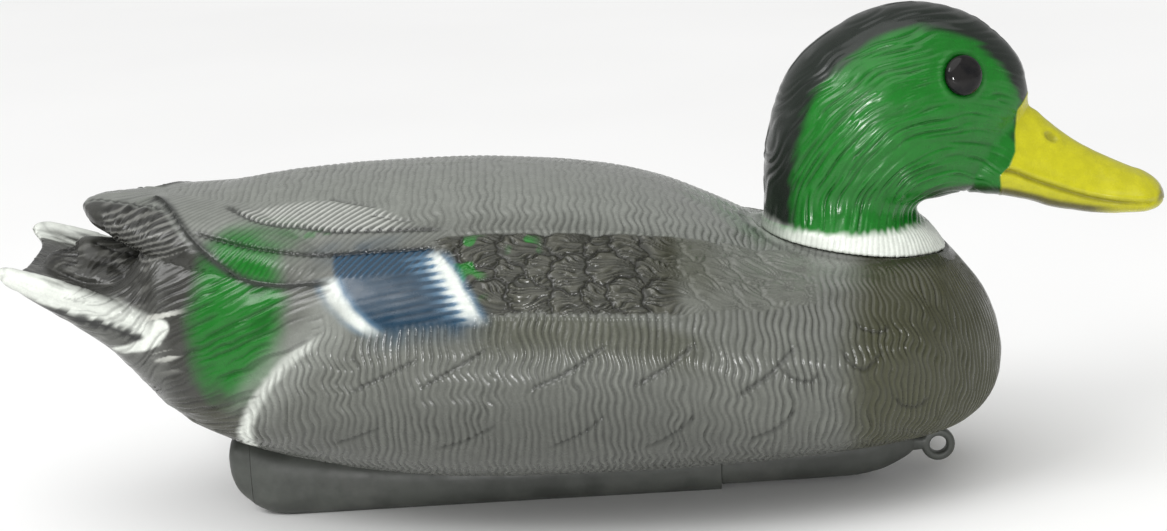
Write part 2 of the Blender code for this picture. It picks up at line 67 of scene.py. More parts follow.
def window(lo, hi, soft, v):
    """1 between lo and hi, 0 outside, with soft edges."""
    return ramp(lo - soft, lo + soft, v) * ramp(hi + soft, hi - soft, v)


def lattice(i, j, k, seed):
    n = i * 374761393 + j * 668265263 + k * 1442695041 + seed * 974634777
    n = (n ^ (n >> 13)) * 1274126177 & 0xFFFFFFFF
    n = (n ^ (n >> 16)) * 2246822519 & 0xFFFFFFFF
    return ((n >> 8) & 0xFFFF) / 32767.5 - 1


def noise(p, size, seed=0):
    """Smooth noise from -1 to 1 at points p. The cells' size is one number or one for each axis."""
    q = p / np.asarray(size, float)
    base = np.floor(q).astype(np.int64)
    f = q - base
    f = f * f * (3 - 2 * f)
    total = np.zeros(len(p))
    for di in (0, 1):
        for dj in (0, 1):
            for dk in (0, 1):
                weight = (
                    (f[:, 0] if di else 1 - f[:, 0])
                    * (f[:, 1] if dj else 1 - f[:, 1])
                    * (f[:, 2] if dk else 1 - f[:, 2])
                )
                total += weight * lattice(base[:, 0] + di, base[:, 1] + dj, base[:, 2] + dk, seed)
    return total


def turns(count):
    """Evenly spaced angles round a circle."""
    return np.linspace(0, 2 * np.pi, count, endpoint=False)


def tapered(share, first, last):
    """0 at both ends of a line, 1 between these shares of its length."""
    return ramp(0, first, share) * ramp(1, last, share)


def flat(a, b):
    """Points for noise on a surface from its two coordinates."""
    return np.stack((a, b, np.zeros_like(a)), axis=1)


def smooth_table(xs, vs):
    """A smooth function through the points that never overshoots, for arrays."""
    xs, vs = np.asarray(xs, float), np.asarray(vs, float)
    slopes = np.diff(vs) / np.diff(xs)
    inner = np.where(slopes[:-1] * slopes[1:] > 0, 2 * slopes[:-1] * slopes[1:], 0)
    total = slopes[:-1] + slopes[1:]
    inner = inner / np.where(total == 0, 1, total)
    tangents = np.concatenate((slopes[:1], inner, slopes[-1:]))

    def value(x):
        x = np.clip(x, xs[0], xs[-1])
        i = np.clip(np.searchsorted(xs, x, side="right") - 1, 0, len(xs) - 2)
        width = xs[i + 1] - xs[i]
        t = (x - xs[i]) / width
        rise = vs[i] * (1 + 2 * t) * (1 - t) ** 2 + vs[i + 1] * t * t * (3 - 2 * t)
        return rise + width * (tangents[i] * t * (1 - t) ** 2 + tangents[i + 1] * t * t * (t - 1))

    return value


def line_distance(a, b, points):
    """Distance from (a, b) to a bent line, its side (-1 or 1) and the share of the length there."""
    best = np.full(len(a), 1e9)
    side = np.ones(len(a))
    share = np.zeros(len(a))
    lengths = [math.dist(p, q) for p, q in zip(points, points[1:])]
    done, total = 0.0, sum(lengths)
    for (x0, y0), (x1, y1), length in zip(points, points[1:], lengths):
        dx, dy = (x1 - x0) / length, (y1 - y0) / length
        along = np.clip((a - x0) * dx + (b - y0) * dy, 0, length)
        ox, oy = a - x0 - along * dx, b - y0 - along * dy
        d = np.hypot(ox, oy)
        near = d < best
        best = np.where(near, d, best)
        side = np.where(near, np.sign(dx * oy - dy * ox), side)
        share = np.where(near, (done + along) / total, share)
        done += length
    return best, side, share


def curve(points, step=3.0):
    """More points on a smooth line through a few."""
    ts = [0.0]
    for p, q in zip(points, points[1:]):
        ts.append(ts[-1] + math.dist(p, q))
    fx = smooth_table(ts, [p[0] for p in points])
    fy = smooth_table(ts, [p[1] for p in points])
    t = np.linspace(0, ts[-1], max(2, int(ts[-1] / step)))
    return list(zip(fx(t).tolist(), fy(t).tolist()))


def height_on(line, x):
    return np.interp(x, [q[0] for q in line], [q[1] for q in line])


# ---- forms, as in the CAD
# Station x, top, underside, half width, height of the widest point, how far its middle bows out.
HULL = np.array((
    (-200, 95.8, 94, 32.5, 99, 6.5), (-198.2, 95, 90.8, 36.3, 99.9, 6.5),
    (-193, 93.5, 85.8, 38, 97.2, 6), (-186, 91.5, 80.6, 38.5, 93.4, 5),
    (-176, 89.5, 72.8, 38.6, 89.2, 3.5), (-166, 90.5, 64.2, 38.8, 86, 2),
    (-158, 95.5, 55, 39.5, 83, 1), (-152, 104, 47.8, 40.6, 80.4, 0.5),
    (-146, 113.3, 42, 42.2, 77.6, 0), (-134, 116.6, 34, 46, 73, 0), (-118, 118.9, 28, 52.5, 68, 0),
    (-98, 120.9, 23.5, 60, 64, 0), (-72, 121.8, 19.5, 68, 61, 0), (-45, 121.5, 17.4, 73.5, 59, 0),
    (-16, 119.3, 17, 76.5, 58, 0), (8, 115.7, 17, 77, 57.5, 0), (28, 109.8, 17, 76, 57, 0),
    (45, 102, 17, 73.8, 56.5, 0), (59, 95.2, 17.2, 71, 56, 0), (78, 92.5, 17.5, 65.5, 55, 0),
    (95, 92.2, 18, 58.5, 54, 0), (108, 93, 18.8, 51.5, 53, 0), (117, 91.5, 19.8, 45, 52, 0),
    (124, 84, 21.4, 38.5, 50.5, 0), (131, 75.5, 24.5, 30, 49, 0), (136.5, 68, 29, 21.5, 47.5, 0),
    (140.2, 59.5, 34.5, 13.5, 46, 0), (142.2, 52, 39.6, 6.4, 45.4, 0),
    (142.7, 48, 42.8, 2.6, 45.2, 0),
))
HULL_UPPER, HULL_LOWER = 2.15, 2.6
# Station x, top, underside, half width, height of the edge.
WING_TIPS = np.array((
    (-174, 114.6, 112.2, 3, 113.4), (-171.5, 115.9, 109, 10, 112), (-166, 116.8, 105.4, 17.5, 110),
    (-158, 116.9, 101.3, 25, 107), (-147, 117, 97, 32.5, 103), (-134, 117.5, 94, 39.2, 99.5),
    (-118, 117.4, 92, 45.6, 97.5), (-98, 114, 90, 52, 96), (-82, 110, 90, 52, 97),
))
COVERTS = np.array((
    (-178.5, 100.4, 88, 4, 95), (-175.5, 102.2, 84, 9, 94), (-166, 101.2, 80, 16, 91),
    (-152, 101.5, 78, 24, 89), (-140, 100, 80, 26, 88),
))
UNDER_COVERTS = np.array((
    (-189.5, 95.6, 90, 3, 94), (-186.5, 97.6, 88, 8, 93.5), (-178, 98.4, 85, 14.5, 92),
    (-166, 98, 80, 20, 90), (-150, 96, 78, 25, 88),
))
# Middle of the rolled edge in x, y and z, and its radius.
TAIL_RIM = np.array((
    (-199.7, 32.6, 98.6, 0.6), (-198.9, 33, 98.4, 2), (-197, 33.9, 97.8, 3.1),
    (-193.5, 34.9, 96.7, 3.8), (-182, 35.6, 93, 4), (-165, 36.4, 86.6, 3.8),
    (-152, 38.2, 81.2, 2.8), (-142, 40.2, 77, 1),
))
NECK = np.array((92.0, 0.0, 88.3))
LEAN = math.radians(8.7)
NECK_AXIS = np.array((math.sin(LEAN), 0, math.cos(LEAN)))
NECK_R = 32.0
# Back x and z, front x and z, half width, and how far the widest point lies towards the back.
HEAD = np.array((
    (60.37, 93.14, 123.63, 83.46, 31.9, 0), (61, 97.2, 120.2, 88.6, 30.8, 0),
    (61.2, 101.5, 116.2, 93.5, 28.6, 0.02), (61.4, 106, 114.2, 97.2, 27, 0.06),
    (61.6, 110, 118, 100.6, 26.2, 0.14), (61.8, 114, 128.5, 102, 25.8, 0.26),
    (62.1, 119, 139.5, 104, 25.9, 0.34), (63.2, 125, 146.5, 112, 26.5, 0.34),
    (64.8, 131.5, 149.5, 123, 26.9, 0.32), (67, 138.3, 154, 134, 26.4, 0.29),
    (70, 145, 151.9, 144.6, 24.9, 0.25), (74.8, 151.4, 148.6, 150.6, 22.6, 0.2),
    (80.3, 156.3, 143.2, 156.6, 19.6, 0.15), (87.5, 161.2, 136.3, 162.2, 15.9, 0.1),
    (95.5, 165.3, 128.5, 166.1, 11.5, 0.05), (103.5, 167.9, 120, 168.4, 6.2, 0),
    (109, 168.8, 114, 169, 2, 0),
))
# Station x, top, underside, half width, height of the edge.
BILL = np.array((
    (132, 126, 101.5, 13, 112), (139, 129, 100.8, 14, 110), (144, 131, 100, 13.6, 108.5),
    (150, 131, 98.4, 12.8, 107), (155.5, 130, 96.8, 12.2, 105.5), (159, 126.6, 95.4, 12, 104.5),
    (166, 120.4, 93.8, 11.8, 102.5), (175, 114.3, 92.2, 12.2, 100), (184, 109.7, 91.7, 12.9, 98),
    (191, 106.4, 91.7, 12.9, 97), (196, 103.6, 92.4, 10.6, 96.8), (199, 100.4, 94.2, 6.4, 96.8),
    (200, 98.4, 95.8, 2.4, 97),
))


def superellipse(angle, upper, lower):
    s, c = np.sin(angle), np.cos(angle)
    power = 2 / np.where(c > 0, upper, lower)
    return np.sign(s) * np.abs(s) ** power, np.sign(c) * np.abs(c) ** power


def stations(rows, step):
    """Close stations along X that keep the first and last."""
    return np.linspace(rows[0, 0], rows[-1, 0], max(3, int((rows[-1, 0] - rows[0, 0]) / step)))


def columns(rows, xs):
    """The table's columns after the first at xs, smooth between its rows."""
    return [smooth_table(rows[:, 0], v)(xs) for v in rows.T[1:]]


def across_x(xs, angle, upper, lower, top, low, half, wide, bow=0):
    """Rings across X, each with its top, underside, half width, widest height and forward bow."""
    across, up = superellipse(angle, upper, lower)
    z = wide + up * np.where(up > 0, top - wide, wide - low)
    return np.stack((xs[:, None] + bow * (1 - across**4), half * across + 0 * z, z), axis=2)


def tube_rings(rows, upper, lower, count, step):
    """Rings of a loft across X, smooth between its stations."""
    xs = stations(rows, step)
    return across_x(xs, turns(count), upper, lower, *(v[:, None] for v in columns(rows, xs)))


def rim_rings(side):
    """The rolled edge of the tail: round sections that follow its outline."""
    xs = np.concatenate((TAIL_RIM[:3, 0], np.arange(-195.5, -142.0, 1.5), TAIL_RIM[-1:, 0]))
    y, z, r = (v[:, None] for v in columns(TAIL_RIM, xs))
    angle = turns(32) * side
    return np.stack(
        (xs[:, None] + 0 * angle, side * y + r * np.cos(angle), z + r * np.sin(angle)), axis=2
    )


def head_rings(rows, count, between):
    """Leaning rings of the head, with a number of them between two of its rows."""
    at = np.arange(len(rows))
    t = np.linspace(0, len(rows) - 1, (len(rows) - 1) * between + 1)
    bx, bz, fx, fz, half, egg = (smooth_table(at, rows[:, k])(t)[:, None] for k in range(6))
    angle = turns(count)
    share = (1 - np.cos(angle)) / 2
    y = half * np.sin(angle) * (1 + egg * np.cos(angle))
    return np.stack((bx + (fx - bx) * share, y, bz + (fz - bz) * share), axis=2)


def spun_rings(outline, centre, axis, count):
    """Rings round an axis from (radius, height) pairs."""
    w = Vector(axis).normalized()
    u = w.orthogonal().normalized()
    v = w.cross(u)
    u, v, w = np.array(u), np.array(v), np.array(w)
    angle = turns(count)[:, None]
    spoke = np.cos(angle) * u + np.sin(angle) * v
    return np.stack([np.asarray(centre) + spoke * r + w * h for r, h in outline])


# ---- meshes
def skin(rings):
    """Vertices and faces of a closed skin over rings. Strips across each end ring close it."""
    n, count = rings.shape[:2]
    k = np.arange(count)
    nxt = (k + 1) % count
    faces = []
    for i in range(n - 1):
        a, b = i * count, (i + 1) * count
        faces.append(np.stack((a + k, a + nxt, b + nxt, b + k), axis=1))
    faces = [tuple(f) for f in np.concatenate(faces).tolist()]
    for start in (0, (n - 1) * count):
        for j in range(-count // 4, count // 4):
            strip = [
                j % count, (j + 1) % count, (count // 2 - j - 1) % count, (count // 2 - j) % count
            ]
            corners = list(dict.fromkeys(start + i for i in strip))
            faces.append(tuple(corners))
    return rings.reshape(-1, 3), faces


def in_scene(name, data):
    obj = bpy.data.objects.new(name, data)
    bpy.context.scene.collection.objects.link(obj)
    return obj


def new_object(name, verts, faces):
    """A mesh object from points in millimetres, with its faces turned outwards."""
    mesh = bpy.data.meshes.new(name)
    mesh.from_pydata((np.asarray(verts) * MM).tolist(), [], faces)
    bm = bmesh.new()
    bm.from_mesh(mesh)
    bmesh.ops.recalc_face_normals(bm, faces=bm.faces)
    bm.to_mesh(mesh)
    bm.free()
    mesh.shade_smooth()
    return in_scene(name, mesh)


def joined(name, ring_sets):
    verts, faces, at = [], [], 0
    for rings in ring_sets:
        v, f = skin(rings)
        faces += [tuple(i + at for i in face) for face in f]
        verts.append(v)
        at += len(v)
    return new_object(name, np.concatenate(verts), faces)


def applied(obj):
    """Bakes an object's modifiers into its mesh."""
    mesh = bpy.data.meshes.new_from_object(obj.evaluated_get(bpy.context.evaluated_depsgraph_get()))
    obj.modifiers.clear()
    old = obj.data
    obj.data = mesh
    bpy.data.meshes.remove(old)
    mesh.name = obj.name
    return obj


def fused(name, ring_sets, voxel):
    """One even skin round overlapping lofts, keeping only its largest island."""
    obj = joined(name, ring_sets)
    remesh = obj.modifiers.new("fuse", "REMESH")
    remesh.mode = "VOXEL"
    remesh.voxel_size = voxel * MM
    applied(obj)
    bm = bmesh.new()
    bm.from_mesh(obj.data)
    bm.verts.ensure_lookup_table()
    island = np.full(len(bm.verts), -1)
    groups = 0
    for start in range(len(bm.verts)):
        if island[start] >= 0:
            continue
        island[start] = groups
        front = [bm.verts[start]]
        while front:
            v = front.pop()
            for e in v.link_edges:
                w = e.other_vert(v)
                if island[w.index] < 0:
                    island[w.index] = groups
                    front.append(w)
        groups += 1
    if groups > 1:
        keep = np.bincount(island).argmax()
        bmesh.ops.delete(bm, geom=[v for v in bm.verts if island[v.index] != keep], context="VERTS")
        bm.to_mesh(obj.data)
    bm.free()
    return obj


def pulled(items, name, width=1, kind=np.float32):
    """One property of a mesh's items, a row for each."""
    values = np.empty(len(items) * width, kind)
    items.foreach_get(name, values)
    return values.reshape(-1, width) if width > 1 else values


def points_of(mesh):
    return pulled(mesh.vertices, "co", 3, float) / MM


def normals_of(mesh):
    return pulled(mesh.vertex_normals, "vector", 3).astype(float)


def set_points(mesh, p):
    mesh.vertices.foreach_set("co", (p * MM).astype(np.float32).ravel())
    mesh.update()


def edges_of(mesh):
    return pulled(mesh.edges, "vertices", 2, np.int32)


def both_ways(edges):
    return np.concatenate((edges[:, 0], edges[:, 1])), np.concatenate((edges[:, 1], edges[:, 0]))


def near_sum(p, a, b):
    return np.stack([np.bincount(a, weights=p[b, k], minlength=len(p)) for k in range(3)], axis=1)


def relaxed(p, edges, rounds):
    """Evens out steps without shrinking the form: each pass in is followed by one out."""
    a, b = both_ways(edges)
    count = np.bincount(a, minlength=len(p))[:, None]
    for i in range(rounds * 2):
        p = p + (near_sum(p, a, b) / count - p) * (0.5 if i % 2 == 0 else -0.52)
    return p


def softened(p, edges, weight, rounds):
    """Plain smoothing where weight is above zero, to run one form into another."""
    a, b = both_ways(edges)
    keep = weight[a] > 0
    a, b = a[keep], b[keep]
    count = np.maximum(np.bincount(a, minlength=len(p)), 1)[:, None]
    for _ in range(rounds):
        p = p + (near_sum(p, a, b) / count - p) * (0.7 * weight)[:, None]
    return p


def finished(obj, p, relief, colours):
    """Moves a moulding's points to p and stores its relief in mm and its paint on them."""
    mesh = obj.data
    set_points(mesh, p)
    rgba = np.concatenate((np.clip(colours, 0, 1), np.ones((len(colours), 1))), axis=1)
    paint = mesh.color_attributes.new("paint", "FLOAT_COLOR", "POINT")
    paint.data.foreach_set("color", rgba.astype(np.float32).ravel())
    height = mesh.attributes.new("relief", "FLOAT", "POINT")
    height.data.foreach_set("value", np.asarray(relief, np.float32))
    mesh.shade_smooth()


def corners(mesh):
    """Vertex and face of each face corner, and the faces' centres in millimetres and normals."""
    faces = mesh.polygons
    face = np.repeat(np.arange(len(faces)), pulled(faces, "loop_total", kind=np.int32))
    vertex = pulled(mesh.loops, "vertex_index", kind=np.int32)
    return vertex, face, pulled(faces, "center", 3) / MM, pulled(faces, "normal", 3)


HULL_SHEET, HEAD_SHEET = 450, 292  # side of each square sheet in mm
TAIL_AT, WING_AT = (555, 45), (528, 145)


def lay_out(mesh, across, along, sheet):
    """A UV map from places in millimetres on a square sheet, one for each corner."""
    layer = mesh.uv_layers.new(name="OFBake")
    layer.data.foreach_set(
        "uv", (np.stack((across, along), axis=1) / sheet).astype(np.float32).ravel()
    )


def hull_sheet(mesh, p, g):
    """Each flank from back to keel, and beside them the tail's top and the wings' underside."""
    v, f, centre, normal = corners(mesh)
    x, y = p[v, 0], p[v, 1]
    side = np.where(centre[f, 1] > 0, 1, -1)
    across, along = x + 203, g[v] * np.sign(y) * side + np.where(side > 0, 228, 6)
    rim = hull_wide(centre[:, 0]) - 8
    dish = (
        (centre[:, 0] < -141) & (normal[:, 2] > 0.1) & (centre[:, 2] > rim) & (centre[:, 2] < 103)
    )
    below = (
        (centre[:, 0] < -105) & (centre[:, 2] > 90) & (normal[:, 2] < -0.1) & (
            np.abs(centre[:, 1]) < 47
        )
    )
    for part, at in ((below, WING_AT), (dish, TAIL_AT)):
        across, along = np.where(part[f], (x + at[0], y + at[1]), (across, along))
    lay_out(mesh, across, along, HULL_SHEET)


def head_sheet(mesh, p):
    """The head seen from each of its six sides."""
    v, f, centre, normal = corners(mesh)
    x, y, z = p[v].T
    face = np.argmax(np.abs(normal) * (0.8, 1.3, 0.8), axis=1)
    positive = np.take_along_axis(normal, face[:, None], axis=1)[:, 0] > 0
    face, positive, tip = face[f], positive[f], centre[f, 0] > 150
    across = np.where(face == 0, y + 180 + np.where(tip, 15, 0), x - 57)
    along = np.where(face == 0, z - 84 + np.where(positive, np.where(tip, 180, 90), 0), 0)
    along = np.where(face == 1, z - 84 + np.where(positive, 90, 0), along)
    along = np.where(face == 2, y + np.where(positive, 210, 262), along)
    lay_out(mesh, across, along, HEAD_SHEET)


class Coats:
    """Paint on every point of a mesh, one coat over another."""

    def __init__(self, colour, count):
        self.colour = np.tile(colour, (count, 1))

    def add(self, new, mask):
        """A coat as thick as mask."""
        self.colour = self.colour + (np.asarray(new) - self.colour) * np.clip(mask, 0, 1)[:, None]

    def dim(self, amount):
        self.colour *= (1 - amount)[:, None]


# ---- hull coordinates
hull_top, hull_low, hull_half, hull_wide = (
    smooth_table(HULL[:, 0], HULL[:, k]) for k in (1, 2, 3, 4)
)
GIRTH_STEP = 3.0
GIRTH_X = np.arange(-200.0, 143.0, GIRTH_STEP)
GIRTH_T = np.linspace(0, np.pi, 97)


def girth_table():
    """Way down the skin from the middle of the back, for each station and angle."""
    sizes = (f(GIRTH_X)[:, None] for f in (hull_top, hull_low, hull_half, hull_wide))
    rings = across_x(GIRTH_X, GIRTH_T, HULL_UPPER, HULL_LOWER, *sizes)
    steps = np.hypot(np.diff(rings[:, :, 1], axis=1), np.diff(rings[:, :, 2], axis=1))
    return np.pad(np.cumsum(steps, axis=1), ((0, 0), (1, 0)))


GIRTH = girth_table()


def skin_way(p):
    """g for points on or near the hull."""
    x = np.clip(p[:, 0], GIRTH_X[0], GIRTH_X[-1] - 1e-6)
    top, low, half, wide = hull_top(x), hull_low(x), hull_half(x), hull_wide(x)
    a = np.abs(p[:, 1]) / half
    above = (p[:, 2] > wide) & (top > wide)
    b = np.abs(p[:, 2] - wide) / np.maximum(np.where(above, top - wide, wide - low), 1)
    n = np.where(above, HULL_UPPER, HULL_LOWER) / 2
    t = np.arctan2(a**n, b**n)
    t = np.where(above, t, np.pi - t)
    i = (x - GIRTH_X[0]) / GIRTH_STEP
    j = t / GIRTH_T[1]
    i0, j0 = (
        np.clip(i.astype(int), 0, len(GIRTH_X) - 2), np.clip(j.astype(int), 0, len(GIRTH_T) - 2)
    )
    fi, fj = i - i0, j - j0
    return (
        GIRTH[i0, j0] * (1 - fi) * (1 - fj)
        + GIRTH[i0 + 1, j0] * fi * (1 - fj)
        + GIRTH[i0, j0 + 1] * (1 - fi) * fj
        + GIRTH[i0 + 1, j0 + 1] * fi * fj
    )


# ---- hull relief and paint
GREY = srgb(97, 99, 93)
PALE_GREY = srgb(134, 137, 131)
BROWN = srgb(60, 61, 42)
DARK = srgb(52, 52, 48)
BLACK = srgb(24, 25, 25)
GREEN = srgb(14, 106, 24)
BLUE = srgb(2, 47, 70)
WHITE = srgb(226, 230, 222)
YELLOW = srgb(182, 178, 24)

QUILL_1 = curve([(-150, 5), (-146, 11), (-134, 35), (-120, 51), (-110, 58), (-98, 62), (-84, 64)])
QUILL_2 = curve([(-134, 33), (-123, 40), (-108, 48), (-96, 52), (-66, 56), (-47, 57)])
QUILL_3 = curve([(-124, 21), (-110, 35), (-96, 40), (-83, 45), (-57, 48.4), (-45, 49.5)])
QUILL_4 = curve([(-87, 27), (-79, 31.5), (-70, 35.5)])
QUILL_5 = curve([(-73, 38.5), (-66, 42), (-58, 44.6)])
QUILL_0 = curve([(-171, 4), (-163, 8.5), (-154, 13.5), (-143, 20)])
CUTS = (
    ((-83, 102), (-71, 99), (-57, 94)), ((-60, 105), (-48, 100), (-34, 93)),
    (
        (-25, 109), (-10, 102), (5, 91)
    ), ((10, 106), (22, 97), (34, 85)), ((43, 101), (55, 88), (67, 73)),
    ((-90, 121), (-81, 119), (-72, 116)), ((-56, 128), (-44, 125), (-33, 119)),
    (
        (-18, 130), (-7, 124), (3, 115)
    ), ((13, 129), (23, 121), (33, 109)), ((47, 116), (58, 106), (66, 94)),
)
CRESCENTS = (
    ((80, 71), (83, 76), (87, 78), (91, 75), (95, 69)), ((85, 61), (89, 64), (94, 64), (98, 60)),
    ((98, 84), (102, 88), (107, 87), (111, 81)), ((60, 82), (64, 86), (69, 86), (73, 81)),
)
PATCH_TOP = smooth_table((-60, -46, -10, 17, 27, 45, 61, 75), (54, 53, 52, 49, 46, 38, 31, 26))
PATCH_BOTTOM = smooth_table((-60, -46, -36, -5, 21, 58, 75), (64, 66, 82, 82, 79, 63, 56))


# Wave lengths in mm of the flank's strokes, the barbs, the toothed lines, the rump's hairs and
# the speculum's slanting and level lines.
STROKE_PITCH, BARB_PITCH, TOOTH_PITCH, HAIR_PITCH, LEAN_PITCH, LEVEL_PITCH = (
    2.45, 2.0, 2.1, 2.7, 1.9, 2.8
)
BREAST_TURN = 84.0  # x where the strokes start to fan round the breast


def groove(d, width):
    """1 on a line, falling off within about this width of it."""
    return np.exp(-((d / width) ** 2))


def wavy_strokes(p, g):
    """Upright wavy grooves, one beside another along the flank and round the breast."""
    phi = np.arctan2(np.abs(p[:, 1]), p[:, 0] - BREAST_TURN)
    way = np.where(p[:, 0] > BREAST_TURN, 58 * phi, 58 * np.pi / 2 + (BREAST_TURN - p[:, 0]))
    drift = noise(p, (38, 38, 24), 3)
    apart = noise(flat(way, g), (4.0, 18, 5), 21)
    wave = (
        0.9 * np.sin(2 * np.pi * (g / 12.6 + 0.5 * drift + 0.16 * apart + way / 240))
        * (0.7 + 0.9 * noise(p, 22, 4))
    )
    way = (
        way + wave * (0.4 + 0.6 * ramp(18, 44, g)) + 0.55 * noise(p, 5.0, 5) + 0.35 * apart
        + 1.8 * drift
    )
    s = 0.5 + 0.5 * np.cos(2 * np.pi * way / STROKE_PITCH)
    number = np.round(way / STROKE_PITCH)
    broken = noise(flat(number * 7.3, g), (5, 12, 5), 6)
    depth = 0.55 + 0.45 * ramp(-0.6, 0.1, broken)
    return (0.36 - 1.45 * s**2.4) * depth * (0.95 + 0.3 * noise(p, 9, 7))


def lobes():
    """Overlapping shoulder feathers, rear ones first: centre, half length, half height and turn."""
    found = []
    for row in range(3):
        for k in range(10):
            x = -43 + k * 11.9 + (5.9 if row == 1 else 0) + 1.9 * math.sin(5.1 * k + 2.3 * row)
            if x > 68:
                continue
            top, bottom = float(PATCH_TOP(x)), float(PATCH_BOTTOM(x))
            g = top + (bottom - top) * (0.2 + 0.32 * row) + 1.1 * math.sin(3.7 * k + 1.9 * row)
            size = 1 + 0.16 * math.sin(7.7 * k + 2.9 * row)
            half, turn = (bottom - top) * 0.225 * size, 0.3 * math.sin(4.3 * k + 5.1 * row)
            found.append((x, g, 9.6 * size, half, turn))
    return sorted(found)


def patch_relief(x, g):
    """Height of the shoulder feathers, and where they are."""
    height = np.zeros(len(x))
    cover = np.zeros(len(x))
    for n, (cx, cg, length, half, turn) in enumerate(lobes()):
        dx, dg = x - cx, g - cg
        a = (dx * math.cos(turn) + dg * math.sin(turn)) / length
        b = (dg * math.cos(turn) - dx * math.sin(turn)) / half
        rho = np.where(
            a < 0, np.hypot(a, b) + 0.05 * np.cos(11 * np.arctan2(b, a) + n), np.abs(b) + 0.15 * a
        )
        inside = (rho < 1) & (a < 1.25)
        fan = np.arctan2(b * half, (1.0 - a) * length)
        ribs = np.cos(
            2 * np.pi * (fan / 0.11 + 0.6 * np.sin(a * 4 + n) + 0.4 * np.sin(9 * b + 2 * n))
        )
        split = np.sign(ribs) * np.abs(ribs) ** 0.6
        rim = 1 - ramp(0.86, 1.0, rho)
        lobe = (
            (0.36 - 0.30 * a) * rim
            + 0.34 * split * ramp(0.0, 0.3, rho) * rim * (1 + 0.5 * np.sin(7 * a + 3 * b + n))
        )
        vane = groove(b * half + 0.5 * np.sin(3 * a), 0.5) * ramp(-1.0, -0.6, a) * ramp(0.9, 0.5, a)
        edge = (rho >= 1) & (rho < 1.07) & (a < 0.75)
        height = np.where(edge, np.minimum(height, -0.22), height)
        height = np.where(inside, lobe + 0.3 * vane, height)
        cover = np.where(inside | edge, 1.0, cover)
    return height, cover


